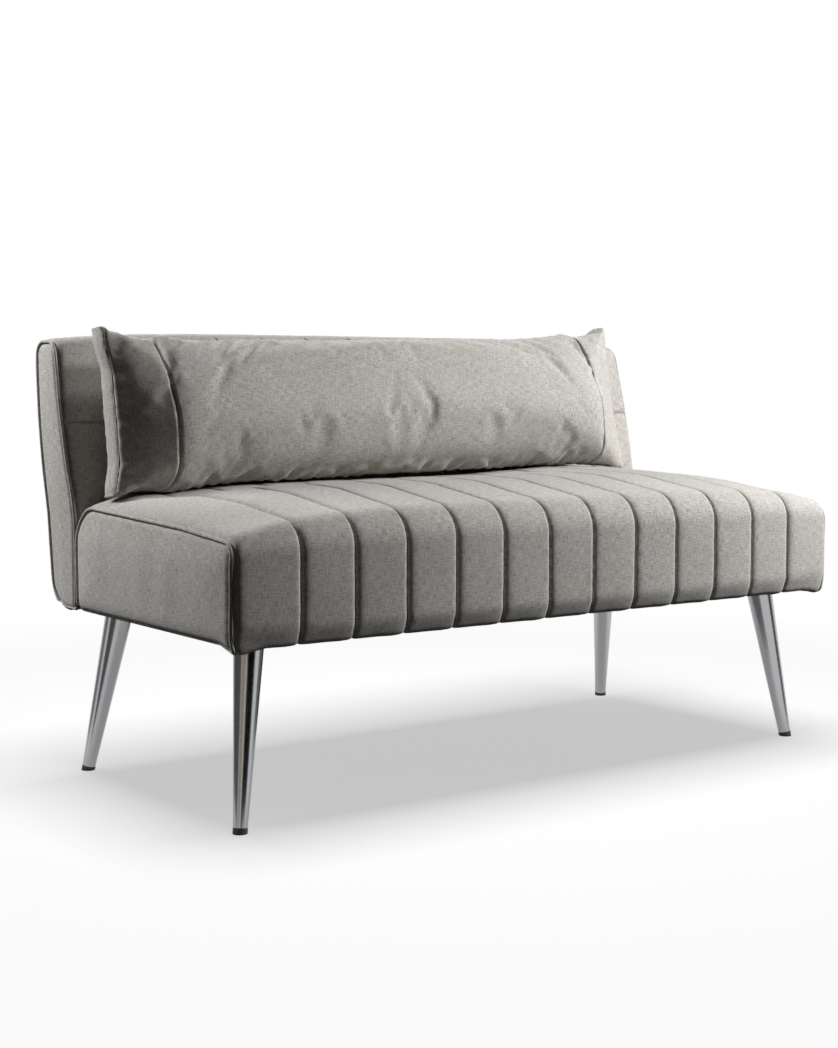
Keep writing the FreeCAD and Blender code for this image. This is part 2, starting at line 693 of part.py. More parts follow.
def make_clips():
    """Folded steel clips, nailed to the rails, that hold each spring's end runs."""
    clips = []
    hole = SPRING_WIRE + CLIP_PLAY
    reach = hole + CLIP_GAUGE
    for x in spring_places():
        for y in (SPRING_FRONT, SPRING_REAR):
            body = box(x - CLIP_WIDTH / 2, x + CLIP_WIDTH / 2, y - reach, y + reach, RAIL_TOP, SPRING_Z + reach)
            clips.append(body.cut(rod((x - CLIP_WIDTH, y, SPRING_Z), (x + CLIP_WIDTH, y, SPRING_Z), hole)))
    return Part.makeCompound(clips)


def add_seat_suspension():
    add("seat_springs", Part.makeCompound([make_spring(x) for x in spring_places()]))
    add("spring_clips", make_clips())
    tie = SPRING_Z + SPRING_WIRE + TIE_ROD_RADIUS
    reach = spring_places()[-1] + SPRING_WIDTH / 2
    places = [SPRING_FRONT + share * (SPRING_REAR - SPRING_FRONT) for share in (1 / 3, 2 / 3)]
    tie_rods = [rod((-reach, y, tie), (reach, y, tie), TIE_ROD_RADIUS) for y in places]
    add("spring_tie_rods", Part.makeCompound(tie_rods))
    low = tie + TIE_ROD_RADIUS
    front, rear = SEAT_PAD_FRONT + FIT, SEAT_PAD_BACK - FIT
    add("seat_spring_pad", box(-FRAME_HALF, FRAME_HALF, front, rear, low, low + SPRING_PAD))
    add("seat_foam", box(-FRAME_HALF, FRAME_HALF, front, rear, low + SPRING_PAD, SEAT_PAD_TOP))


def add_seat_upholstery():
    add("seat_channel_pad", channels(seat_pad_wire))
    add("seat_channel_cover", channels(seat_cover_wire))
    front, rear = SEAT_PAD_FRONT + FIT, SEAT_PAD_BACK - FIT
    pad = box(FRAME_HALF + FIT, SIDE_PAD_FACE, front, rear, FRAME_BASE + FIT, SEAT_PAD_TOP)
    add("seat_side_pad_right", pad)
    add("seat_side_pad_left", mirrored(pad))
    outline = seat_side_outline()
    panel = side_panel(outline, SIDE_CROWN, SEAT_PAD_FRONT)
    add("seat_side_cover_right", panel)
    add("seat_side_cover_left", mirrored(panel))
    welt = side_welt(outline)
    add("seat_welt_right", welt)
    add("seat_welt_left", mirrored(welt))
    front = SEAT_PAD_FRONT + RAIL - DUST_COVER_LAP
    sheet = box(-FRAME_HALF, FRAME_HALF, front, FRAME_REAR, PLATE_TOP, FRAME_BASE)
    add("dust_cover", screw_holes(sheet, PLATE_TOP - 1, FRAME_BASE + 1))


def lean_board(x0, x1, z0, z1, depth, thick):
    """A board behind the back frame's front plane, from height z0 to z1."""
    return polygon([(frame_front(z0, depth), z0), (frame_front(z1, depth), z1),
                    (frame_front(z1, depth + thick), z1), (frame_front(z0, depth + thick), z0)], x0, x1)


def add_back_frame():
    clear = SKIN + BACK_BOARD + FIT
    bend, top = BACK_BEND_HEIGHT, BACK_FRAME_TOP
    step = BACK_TUCK_HEIGHT - BACK_STEP
    stile = polygon([
        (SEAT_DEPTH, FRAME_BASE),
        (SEAT_DEPTH, step),
        (frame_front(step), step + BACK_STEP_SLOPE),
        (frame_front(bend), bend),
        (frame_front(top), top),
        (rear_y(top) - clear, top),
        (rear_y(FOOT_CURVE_TOP) - clear, FOOT_CURVE_TOP),
        (FRAME_REAR, FRAME_BASE),
    ], FRAME_INNER, FRAME_HALF)
    add("back_stile_right", stile)
    add("back_stile_left", mirrored(stile))
    add("back_bottom_rail",
        bolt_holes(box(-FRAME_INNER, FRAME_INNER, SEAT_DEPTH, SEAT_DEPTH + RAIL, BOARD_TOP, RAIL_TOP)))
    low = bend - BACK_MIDDLE_RAIL_HEIGHT
    add("back_middle_rail", lean_board(-FRAME_INNER, FRAME_INNER, low, bend, 0, RAIL))
    add("back_top_rail", lean_board(-FRAME_INNER, FRAME_INNER, top - BACK_TOP_RAIL_HEIGHT, top, 0, RAIL))
    stiles = []
    for x in (-CENTRE_STILE_SPREAD, CENTRE_STILE_SPREAD):
        stiles.append(polygon([
            (SEAT_DEPTH + RAIL, RAIL_TOP),
            (SEAT_DEPTH + RAIL, BOARD_TOP),
            (SEAT_DEPTH + CENTRE_STILE_FOOT, BOARD_TOP),
            (frame_front(bend, 2 * RAIL), bend),
            (frame_front(top, RAIL + CENTRE_STILE_HEAD), top),
            (frame_front(top, RAIL), top),
            (frame_front(bend, RAIL), bend),
            (frame_front(bend, RAIL), low),
        ], x - RAIL / 2, x + RAIL / 2))
    add("back_centre_stiles", Part.makeCompound(stiles))
    near, far = SKIN, SKIN + BACK_BOARD
    low = FOOT_CURVE_TOP
    add("back_board", polygon([(rear_y(low) - far, low), (rear_y(top) - far, top),
                               (rear_y(top) - near, top), (rear_y(low) - near, low)], -FRAME_HALF, FRAME_HALF))


def add_back_padding():
    bend, top = BACK_BEND_HEIGHT, BACK_FRAME_TOP
    step = BACK_TUCK_HEIGHT - BACK_STEP
    low = bend - STRAP_LAP
    straps = []
    for i in range(STRAP_COUNT):
        x = (i - (STRAP_COUNT - 1) / 2) * STRAP_GAP
        points = [(frame_front(z, -STRAP_GAUGE), z) for z in (low, bend, top)]
        points += [(frame_front(z), z) for z in (top, bend, low)]
        straps.append(polygon(points, x - STRAP_WIDTH / 2, x + STRAP_WIDTH / 2))
    add("back_webbing", Part.makeCompound(straps))
    points = [(frame_front(z, -BACK_CORE), z) for z in (BACK_TUCK_HEIGHT, bend, top)]
    points += [(frame_front(z, -STRAP_GAUGE), z) for z in (top, bend, BACK_TUCK_HEIGHT)]
    add("back_foam", polygon(points, -FRAME_HALF, FRAME_HALF))
    add("back_channel_pad", channels(lower_pad_wire, upper_pad_wire))
    pad = polygon([
        (SEAT_DEPTH + FIT, FRAME_BASE + FIT),
        (SEAT_DEPTH + FIT, step),
        (frame_front(step, -BACK_CORE), step + BACK_STEP_SLOPE),
        (frame_front(bend, -BACK_CORE), bend),
        (frame_front(top, -BACK_CORE), top),
        (rear_y(top) - SKIN, top),
        (rear_y(FOOT_CURVE_TOP) - SKIN, FOOT_CURVE_TOP),
        (FRAME_REAR, FRAME_BASE + FIT),
    ], FRAME_HALF + FIT, SIDE_PAD_FACE)
    add("back_side_pad_right", pad)
    add("back_side_pad_left", mirrored(pad))


def add_back_covers():
    add("back_channel_cover", channels(lower_cover_wire, upper_cover_wire))
    seam = BACK_COVER_END - FIT
    outer = [
        (rear_y(seam), seam, 0.0),
        (BACK_FOOT_REAR, SEAT_BASE, BACK_FOOT_RADIUS),
        (SEAT_DEPTH + HEM_WIDTH, SEAT_BASE, 0.0),
    ]
    face = Part.Face(band_wire(outer, inward(outer, FABRIC), -BAND_END))
    add("back_rear_cover", face.extrude(FreeCAD.Vector(2 * BAND_END, 0, 0)))
    outline = back_side_outline()
    panel = side_panel(outline, 0.7 * SIDE_CROWN, 0.24 * BACK_TOP_THICKNESS)
    add("back_side_cover_right", panel)
    add("back_side_cover_left", mirrored(panel))
    welt = side_welt(outline)
    add("back_welt_right", welt)
    add("back_welt_left", mirrored(welt))


def bolster_outline(share):
    """The bolster's outline at a share of its half length: thin and tall at its ends, full in between."""
    share = abs(share)
    fullness = math.sqrt(1 - share ** BOLSTER_END_POWER)
    waist, growth = BOLSTER_WAIST_HEIGHT / 2, (BOLSTER_HEIGHT - BOLSTER_WAIST_HEIGHT) / 2
    above = waist + growth * share ** BOLSTER_TOP_POWER
    below = waist + growth * share ** BOLSTER_BOTTOM_POWER
    outline = []
    for (a, b, radius), (end_a, end_b, end_radius) in zip(BOLSTER_FULL, BOLSTER_END):
        full = (a * BOLSTER_THICKNESS / 2, b * (above if b > 0 else below), radius)
        end = (end_a * BOLSTER_END_THICKNESS / 2, end_b * (above if end_b > 0 else below), end_radius)
        outline.append(mixed([end], [full], fullness)[0])
    return outline


def half_outline(outline, front):
    """The front or the rear half of a closed outline, as an open path between its bottom and its top."""
    top, bottom = (*outline[2][:2], 0.0), (*outline[6][:2], 0.0)
    if front:
        return [bottom, outline[7], outline[0], outline[1], top]
    return [top, outline[3], outline[4], outline[5], bottom]


def bolster_body(shrink):
    wires = []
    for share in BOLSTER_SHARES:
        outline = inward(bolster_outline(share), shrink, closed=True)
        x = share * BOLSTER_LENGTH / 2
        halves = [rounded(half_outline(outline, front), x) for front in (True, False)]
        wires.append(Part.Wire(halves[0] + halves[1]))
    return Part.makeLoft(wires, True, False)


def make_bolster_cover():
    """A front and a rear panel of fabric, sewn together along the top and the bottom."""
    panels = []
    for front in (True, False):
        wires = []
        for share in BOLSTER_SHARES:
            outer = half_outline(bolster_outline(share), front)
            inner = half_outline(inward(bolster_outline(share), FABRIC, closed=True), front)
            wires.append(band_wire(outer, inner, share * BOLSTER_LENGTH / 2))
        panels.append(Part.makeLoft(wires, True, False))
    return Part.makeCompound(panels)


def seat_top(x, y):
    """Height of the seat's cover at x and y, with a channel's whole bulge."""
    path = seat_path(x, CHANNEL_BULGE)
    (y0, z0, _), (y1, z1, _) = path[3], path[4]
    return z0 + (z1 - z0) * (y - y0) / (y1 - y0)


def back_front(x, z, bulge=CHANNEL_BULGE):
    """Depth of the back's front cover at x and z."""
    path = back_path(x, bulge)
    (y0, z0, _), (y1, z1, _) = path[2], path[3]
    return y0 + (y1 - y0) * max(0.0, z - z0) / (z1 - z0)


def turned(shape):
    """A piece of the bolster, leaning back and tilted about the bolster's centre."""
    shape = shape.copy()
    shape.rotate(FreeCAD.Vector(), FreeCAD.Vector(1, 0, 0), -BOLSTER_LEAN)
    shape.rotate(FreeCAD.Vector(), FreeCAD.Vector(0, 1, 0), -BOLSTER_TILT)
    return shape


def bolster_place(body):
    """Where the bolster's centre goes, so that it rests on the seat and leans on the back."""
    points = turned(body).tessellate(1.0)[0]
    x, y, z = BOLSTER_OFFSET, SEAT_DEPTH - BOLSTER_THICKNESS / 2, SEAT_REAR_HEIGHT
    for _ in range(4):
        z += FIT - min(p.z + z - seat_top(p.x + x, p.y + y) for p in points)
        y += min(back_front(p.x + x, p.z + z) - p.y - y for p in points) - FIT
    return FreeCAD.Vector(x, y, z)


def add_bolster():
    half = BOLSTER_LENGTH / 2
    cover = make_bolster_cover()
    place = bolster_place(cover)

    def put(name, shape):
        shape = turned(shape)
        shape.translate(place)
        add(name, shape)

    put("bolster_cover", cover)
    put("bolster_fill", bolster_body(SKIN))
    outline = bolster_outline(1.0)
    panel_outline = inward(outline, 2 * BOLSTER_WELT_RADIUS + FIT, closed=True)
    face = half + FIT
    levels = ((face, 0.0), (face + FABRIC, 0.0), (face + END_PANEL_CROWN, END_PANEL_SLOPE))
    wires = [Part.Wire(rounded(inward(panel_outline, inset, closed=True), x, closed=True)) for x, inset in levels]
    panel = Part.makeLoft(wires, True, True)
    put("bolster_end_panel_right", panel)
    put("bolster_end_panel_left", mirrored(panel))
    edge = inward(outline, BOLSTER_WELT_RADIUS, closed=True)
    welt = tube(rounded(edge, half + BOLSTER_WELT_RADIUS + FIT, closed=True), BOLSTER_WELT_RADIUS)
    put("bolster_welt_right", welt)
    put("bolster_welt_left", mirrored(welt))
    ring = inward(bolster_outline(1 - BOLSTER_SEAM_INSET / half), -BOLSTER_SEAM_CORD - FIT, closed=True)
    for i in (2, 6):
        ring[i] = (*ring[i][:2], BOLSTER_CORD_BEND)
    cord = tube(rounded(ring, half - BOLSTER_SEAM_INSET, closed=True), BOLSTER_SEAM_CORD)
    put("bolster_seam_cords", Part.makeCompound([cord, mirrored(cord)]))


def middle_depth():
    """Half way between the front of the seat's channels and the piping at the top of the back."""
    front = Part.Wire(rounded(seat_path(0.0, CHANNEL_BULGE), 0.0)).BoundBox.YMin
    piping = Part.Wire(rounded(inward(back_side_outline(), WELT_INSET, closed=True), WELT_X, closed=True))
    return (front + piping.BoundBox.YMax + WELT_RADIUS) / 2


def save_all():
    """Moves the sofa to its origin and writes each piece."""
    shift = FreeCAD.Vector(0, -middle_depth(), 0)
    print("shift", shift)
    for name, shape in pieces.items():
        shape = shape.copy()
        shape.translate(shift)
        sound = "ok" if shape.isValid() and shape.Volume > 0 else "BAD"
        print(f"{name:26s} solids {len(shape.Solids):3d}  cm3 {shape.Volume / 1000:9.1f}  {sound}")
        shape.exportStep(os.path.join(PARTS, name + ".step"))


def main():
    os.makedirs(PARTS, exist_ok=True)
    add_legs()
    add_seat_frame()
    add_back_bolts()
    add_seat_suspension()
    add_seat_upholstery()
    add_back_frame()
    add_back_padding()
    add_back_covers()
    add_bolster()
    save_all()


main()
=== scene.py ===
"""Looks of an armless loveseat: channelled upholstery, piped end panels, chromed legs and a loose bolster.

Sizes inside this file are millimetres in the sofa's own places: x along its length, depth behind the seams of
the seat's front face, and height above the floor. spot() turns them into metres in the frame.
"""

import json
import math
from bisect import bisect_right

import bmesh
import bpy
from bpy.props import FloatProperty, FloatVectorProperty, IntProperty, PointerProperty
from mathutils import Matrix, Vector, kdtree, noise


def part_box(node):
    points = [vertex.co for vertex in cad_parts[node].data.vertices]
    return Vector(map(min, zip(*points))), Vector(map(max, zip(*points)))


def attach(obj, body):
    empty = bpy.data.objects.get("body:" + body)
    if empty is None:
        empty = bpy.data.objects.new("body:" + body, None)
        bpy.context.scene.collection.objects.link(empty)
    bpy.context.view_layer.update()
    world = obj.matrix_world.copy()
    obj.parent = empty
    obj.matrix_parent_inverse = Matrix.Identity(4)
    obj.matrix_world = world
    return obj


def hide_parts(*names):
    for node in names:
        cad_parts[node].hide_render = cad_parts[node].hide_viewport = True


bl_info = {
    "name": "Channelled Loveseat",
    "version": (1, 0, 0),
    "blender": (4, 5, 0),
    "location": "View3D > Sidebar > Loveseat",
    "description": "Builds the upholstery, bolster, legs and studio of an armless channelled loveseat",
    "category": "Add Mesh",
}

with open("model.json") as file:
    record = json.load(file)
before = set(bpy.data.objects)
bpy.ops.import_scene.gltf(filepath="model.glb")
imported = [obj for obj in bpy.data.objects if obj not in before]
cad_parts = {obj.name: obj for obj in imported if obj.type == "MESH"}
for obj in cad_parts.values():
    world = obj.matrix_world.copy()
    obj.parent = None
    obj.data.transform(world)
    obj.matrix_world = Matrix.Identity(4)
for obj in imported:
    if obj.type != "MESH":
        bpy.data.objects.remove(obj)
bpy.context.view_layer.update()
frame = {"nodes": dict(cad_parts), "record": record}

MM = 0.001

# Places read from the frame
SEAT_LOW, SEAT_HIGH = (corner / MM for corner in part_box("seat_channel_cover"))
WELT_LOW, WELT_HIGH = (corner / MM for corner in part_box("seat_welt_right"))
PANEL_LOW, PANEL_HIGH = (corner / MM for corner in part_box("seat_side_cover_right"))
BOLSTER_LOW, BOLSTER_HIGH = (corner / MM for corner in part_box("bolster_cover"))
CHANNEL_BULGE = 7.0
DEPTH_SHIFT = -SEAT_LOW.y - CHANNEL_BULGE
BAND_END = SEAT_HIGH.x
WELT_X = (WELT_LOW.x + WELT_HIGH.x) / 2
HALF = WELT_X + 1.0
SEAT_BASE = SEAT_LOW.z

# The seat's and the back's outlines, as the frame has them, but for what the padding has settled: the seat's
# ends fall 6 mm more and the back's top lies 5 mm lower
CHANNEL_PITCH = 101.6
CHANNELS = int(2 * HALF // CHANNEL_PITCH)
COVER_THICKNESS = 1.6
HEM_WIDTH = 34.0
SEAT_FRONT_HEIGHT = 502.0
SEAT_REAR_HEIGHT = 538.0
SEAT_DEPTH = 560.0
SEAT_CROWN_DEPTH = 200.0
SEAT_CROWN_HEIGHT = SEAT_FRONT_HEIGHT + 0.8 * (SEAT_REAR_HEIGHT - SEAT_FRONT_HEIGHT)
BACK_HEIGHT = 808.0
BACK_TOP_FRONT = SEAT_DEPTH + 52.0
BACK_TOP_REAR = BACK_TOP_FRONT + 100.0
BACK_FOOT_REAR = SEAT_DEPTH + 97.0
BACK_FOOT_RADIUS = 62.0
BACK_FRONT = SEAT_DEPTH + 3.4
BACK_BEND_DEPTH = BACK_FRONT + 8.5
BACK_BEND_HEIGHT = SEAT_REAR_HEIGHT + 7.0
BACK_TUCK_HEIGHT = SEAT_REAR_HEIGHT - 98.0
BACK_SEAM_HEIGHT = BACK_HEIGHT - 166.0
BACK_COVER_END = BACK_HEIGHT - 42.0
REAR_LEAN = (BACK_TOP_REAR - BACK_FOOT_REAR) / (BACK_HEIGHT - SEAT_BASE)
WELT_INSET = 1.2
SIDE_MARGIN = 3.0
END_FALL_POWER = 5.6
SEAT_END_FALL = 42.0
SEAT_END_SETBACK = 10.0
BACK_END_FALL = 14.0
BACK_END_SETBACK = 22.0
BACK_SETTLE = 5.0

# What use has done to the seat and the back: the end seams drawn in at their bottom and top, the front
# corners hanging, the dent under the bolster, and the back's ends bulging
SEAT_LOW_TUCK = 12.0
SEAT_TOP_TUCK = 5.0
SEAT_CORNER_DROOP = 8.0
SEAT_DENT = 13.0
BACK_END_BULGE = 6.0

# The bolster's size, and how it leans, in degrees
BOLSTER_HALF = 595.0
BOLSTER_HALF_THICKNESS = 92.0
BOLSTER_END_HALF_THICKNESS = 24.0
BOLSTER_WAIST = 126.0
BOLSTER_GROWTH = 24.0
BOLSTER_SEAM = BOLSTER_HALF - 92.0
BOLSTER_LEAN = 7.4
BOLSTER_TILT = 0.8

# How the bolster lies: how far it sinks, how far its left end's corners stand out and that end is drawn in,
# how far its right end's top slides to the left, and how deep the seams near its left and right end are
BOLSTER_SINK = 10.0
BOLSTER_TOP_EAR = 10.0
BOLSTER_LOW_EAR = 12.0
BOLSTER_LEFT_DRAW = 6.0
BOLSTER_RIGHT_SLIDE = 19.0
BOLSTER_LEFT_GROOVE = 8.0
BOLSTER_RIGHT_GROOVE = 5.0

# (depth share, height share, radius) of the bolster's corners from the bottom round the front
BOLSTER_FULL = ((0, -1.0, 300), (-0.88, -0.965, 60), (-1.035, -0.21, 120), (-0.645, 0.70, 120),
                (0, 1.02, 22), (0.645, 0.70, 120), (1.035, -0.21, 120), (0.82, -0.92, 55))
BOLSTER_END = ((0, -0.97, 300), (-0.96, -0.955, 9), (-1, -0.21, 200), (-0.96, 0.985, 9),
               (0, 1, 300), (0.96, 0.985, 9), (1, -0.21, 200), (0.96, -0.955, 9))


def spot(x, depth, height):
    """A place on the sofa, in millimetres, as a point of the frame in metres."""
    return Vector((x, depth - DEPTH_SHIFT, height)) * MM


def linear(colour):
    """An sRGB hex colour as linear RGBA."""
    shares = [int(colour[i:i + 2], 16) / 255 for i in (1, 3, 5)]
    return [s / 12.92 if s <= 0.04045 else ((s + 0.055) / 1.055) ** 2.4 for s in shares] + [1.0]


def smooth(share):
    share = max(0.0, min(1.0, share))
    return share * share * (3 - 2 * share)


def hill(distance, width):
    """1 in the middle and about 0 from two widths on."""
    return math.exp(-(distance / width) ** 2)


def quarter_round(share):
    """Height of a rounded edge at a share of its width: 0 up to its foot and 1 from its end on."""
    return math.sqrt(max(0.0, 1 - (1 - min(share, 1.0)) ** 2))


def rumple(x, y, size, seed):
    """Smooth noise between -1 and 1 with lumps of about the given size."""
    return noise.noise(Vector((x / size, y / size, seed * 7.31)))


# Outlines of (depth, height, radius) corners


def unit(a, b):
    length = math.hypot(b[0] - a[0], b[1] - a[1])
    return (b[0] - a[0]) / length, (b[1] - a[1]) / length


def half_turn(before, here, after):
    back, ahead = unit(here, before), unit(here, after)
    return math.acos(max(-1.0, min(1.0, back[0] * ahead[0] + back[1] * ahead[1]))) / 2


def corner_reaches(path, closed):
    """How far each corner's rounding reaches along its sides. Roundings that would meet share their side."""
    count = len(path)
    reaches = [0.0] * count
    for i in range(count) if closed else range(1, count - 1):
        reaches[i] = path[i][2] / math.tan(half_turn(path[i - 1], path[i], path[(i + 1) % count]))
    shares = [1.0] * count
    for i in range(count) if closed else range(count - 1):
        other = (i + 1) % count
        room = 0.96 * math.dist(path[i][:2], path[other][:2])
        share = room / max(reaches[i] + reaches[other], room)
        shares[i], shares[other] = min(shares[i], share), min(shares[other], share)
    return [reach * share for reach, share in zip(reaches, shares)]


def corner_arc(start, corner, end, step):
    """Points on the arc that is tangent to both sides of a corner."""
    chord, inward_way = end - start, corner - (start + end) / 2
    if inward_way.length < 0.001:
        return [start, end]
    sweep = math.pi / 2 - half_turn(start, corner, end)
    radius = chord.length / 2 / math.sin(sweep)
    outward, along = inward_way.normalized(), chord.normalized()
    centre = (start + end) / 2 - outward * radius * math.cos(sweep)
    steps = max(2, round(2 * sweep * radius / step))
    angles = [(2 * k / steps - 1) * sweep for k in range(steps + 1)]
    return [centre + radius * (outward * math.cos(a) + along * math.sin(a)) for a in angles]


def rounded(path, closed=False, step=2.5):
    """Points along a path with rounded corners. The points of a closed path end where they start."""
    count = len(path)
    reaches = corner_reaches(path, closed)
    points = [] if closed else [Vector(path[0][:2])]
    for i in range(count) if closed else range(1, count - 1):
        here = Vector(path[i][:2])
        start = here + reaches[i] * Vector(unit(path[i], path[i - 1]))
        end = here + reaches[i] * Vector(unit(path[i], path[(i + 1) % count]))
        points += corner_arc(start, here, end, step)
    points.append(points[0] if closed else Vector(path[-1][:2]))
    spread = [points[0]]
    for point in points[1:]:
        gap = (point - spread[-1]).length
        if gap > 0.01:
            steps = max(1, round(gap / (2 * step)))
            spread += [spread[-1].lerp(point, k / steps) for k in range(1, steps + 1)]
    return spread


class Line:
    """Points joined by straight steps, asked for a place by the length along them."""

    def __init__(self, points):
        self.points = points
        self.lengths = [0.0]
        for a, b in zip(points, points[1:]):
            self.lengths.append(self.lengths[-1] + (b - a).length)
        self.total = self.lengths[-1]

    def step(self, length):
        k = min(max(bisect_right(self.lengths, length) - 1, 0), len(self.points) - 2)
        return k, (length - self.lengths[k]) / max(self.lengths[k + 1] - self.lengths[k], 1e-9)

    def at(self, length):
        k, share = self.step(length)
        return self.points[k].lerp(self.points[k + 1], share)

    def out(self, length):
        """Direction to the left of the way along a line in a plane."""
        k, share = self.step(length)
        ways = []
        for i in (k, k + 1):
            way = self.points[min(i + 1, len(self.points) - 1)] - self.points[max(i - 1, 0)]
            ways.append(way.normalized())
        way = ways[0].lerp(ways[1], share).normalized()
        return Vector((-way.y, way.x))

    def nearest(self, target):
        """Length at which the line comes nearest to a place."""
        gaps = [(point - target).length for point in self.points]
        return self.lengths[gaps.index(min(gaps))]


def mixed(middle, end, share):
    return [tuple(a + share * (b - a) for a, b in zip(p, q)) for p, q in zip(middle, end)]


def end_share(x):
    return min(abs(x) / HALF, 1.0) ** END_FALL_POWER


def seat_path(x):
    """The seat's outline at x, from its hem under the front over the top and down behind."""
    middle = [
        (40.0, SEAT_BASE, 0.0),
        (6.0, SEAT_BASE, 6.0),
        (0.0, SEAT_BASE + 24.0, 60.0),
        (0.0, SEAT_FRONT_HEIGHT, 55.0),
        (SEAT_CROWN_DEPTH, SEAT_CROWN_HEIGHT, 500.0),
        (SEAT_DEPTH, SEAT_REAR_HEIGHT, 60.0),
        (SEAT_DEPTH, BACK_TUCK_HEIGHT, 0.0),
    ]
    end = [
        (40.0, SEAT_BASE, 0.0),
        (SEAT_END_SETBACK + 2.0, SEAT_BASE, 6.0),
        (SEAT_END_SETBACK, SEAT_BASE + 24.0, 60.0),
        (SEAT_END_SETBACK, SEAT_FRONT_HEIGHT - 0.78 * SEAT_END_FALL, 26.0),
        (SEAT_CROWN_DEPTH - 20.0, SEAT_CROWN_HEIGHT - 1.15 * SEAT_END_FALL, 500.0),
        (SEAT_DEPTH, SEAT_REAR_HEIGHT - SEAT_END_FALL, 60.0),
        (SEAT_DEPTH, BACK_TUCK_HEIGHT, 0.0),
    ]
    return mixed(middle, end, end_share(x))


def back_path(x):
    """The back's outline at x, from where it is tucked behind the seat, over the top and down behind."""
    share = end_share(x)
    top = BACK_HEIGHT - BACK_SETTLE - share * BACK_END_FALL
    return [
        (BACK_FRONT, BACK_TUCK_HEIGHT, 0.0),
        (BACK_FRONT, SEAT_REAR_HEIGHT - 48.0, 240.0),
        (BACK_BEND_DEPTH, BACK_BEND_HEIGHT, 240.0),
        (BACK_TOP_FRONT + share * BACK_END_SETBACK, top, 34.0),
        (BACK_TOP_REAR, top, 24.0),
        (rear_depth(BACK_COVER_END), BACK_COVER_END, 0.0),
    ]


def rear_depth(height):
    return BACK_FOOT_REAR + (height - SEAT_BASE) * REAR_LEAN


def towards_end(x, start):
    """0 up to a distance from the middle, and 1 where the channels end."""
    return smooth((abs(x) - start) / (BAND_END - start))


def tucked(x, height):
    """How far the seam round the seat's end is drawn towards the middle, at its bottom and its top."""
    low = 1.0 - quarter_round((height - SEAT_BASE) / 32.0)
    top = smooth((height - 425.0) / 60.0)
    return math.copysign(towards_end(x, 600.0) * (SEAT_LOW_TUCK * low + SEAT_TOP_TUCK * top), x)


def drooped(x, depth, height):
    """How far the seat's bottom corners hang down at the front."""
    near_corner = smooth((abs(x) - 630.0) / 46.0) * smooth((60.0 - depth) / 50.0)
    return SEAT_CORNER_DROOP * near_corner * smooth((SEAT_BASE + 34.0 - height) / 34.0)


def dented(x, depth, height):
    """How far the bolster's weight presses the seat down."""
    along = smooth((x + 620.0) / 90.0) * smooth((420.0 - x) / 330.0)
    return SEAT_DENT * along * smooth((depth - 300.0) / 120.0) * smooth((height - 470.0) / 30.0)


def seat_spot(x, point):
    """A place on the seat's cover, where its end seams draw it in and the bolster presses it down."""
    depth, height = point
    return spot(x - tucked(x, height), depth, height - drooped(x, depth, height) - dented(x, depth, height))


def back_spot(x, point):
    """A place on the back's cover, whose ends bulge sideways from a little under the seat's top up."""
    foot = 470.0
    up = max(0.0, min(1.0, (point.y - foot) / (BACK_HEIGHT - foot)))
    bulge = BACK_END_BULGE * towards_end(x, 560.0) * math.sin(math.pi * up)
    return spot(x + math.copysign(bulge, x), point.x, point.y)


def seat_side_outline():
    _, first, _, top, crown, rear, _ = seat_path(HALF)
    return [(*first[:2], 10.0), top, crown, rear, (SEAT_DEPTH, SEAT_BASE, 10.0)]


def back_side_outline():
    _, bend, _, top, rear, _ = back_path(HALF)
    front = (BACK_FRONT, SEAT_BASE, 6.0)
    return [front, bend, top, rear, (BACK_FOOT_REAR, SEAT_BASE, BACK_FOOT_RADIUS)]


def inward(path, distance):
    """The closed outline moved towards its inside."""
    count = len(path)
    moved = []
    for i, here in enumerate(path):
        first, second = unit(path[i - 1], here), unit(here, path[(i + 1) % count])
        sum_depth, sum_height = first[1] + second[1], -first[0] - second[0]
        scale = 2 * distance / (sum_depth * sum_depth + sum_height * sum_height)
        depth, height = here[0] + sum_depth * scale, here[1] + sum_height * scale
        moved.append((depth, height, max(here[2] - distance, 0.6)))
    return moved


# Meshes


def finished(name, bm, material, smooth_faces=True):
    """Turns a bmesh into an object of the scene."""
    mesh = bpy.data.meshes.new(name)
    bm.to_mesh(mesh)
    bm.free()
    for face in mesh.polygons:
        face.use_smooth = smooth_faces
    made = bpy.data.objects.new(name, mesh)
    bpy.context.scene.collection.objects.link(made)
    made.data.materials.append(material)
    return made


def woven_grid(columns, rows, place, closed=False):
    """A grid whose vertex (i, j) goes where place(i, j) says, which gives its point and its place on the
    cloth. A closed one is joined wherever its edges meet."""
    bm = bmesh.new()
    bmesh.ops.create_grid(bm, x_segments=columns, y_segments=rows, size=0.5)
    layer = bm.loops.layers.uv.new("weave")
    cloth = {}
    for vert in bm.verts:
        i, j = round((vert.co.x + 0.5) * columns), round((vert.co.y + 0.5) * rows)
        vert.co, cloth[vert] = place(i, j)
    for face in bm.faces:
        for loop in face.loops:
            loop[layer].uv = cloth[loop.vert]
    if closed:
        bmesh.ops.remove_doubles(bm, verts=bm.verts, dist=0.01 * MM)
    return bm


def thicken(made, depth=COVER_THICKNESS):
    """Gives a sheet its thickness towards its inside."""
    modifier = made.modifiers.new("thickness", "SOLIDIFY")
    modifier.thickness = depth * MM
    modifier.offset = -1.0


def ride(made, body, slot, *nodes):
    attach(made, body)
    if nodes:
        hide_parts(*nodes)
    return made


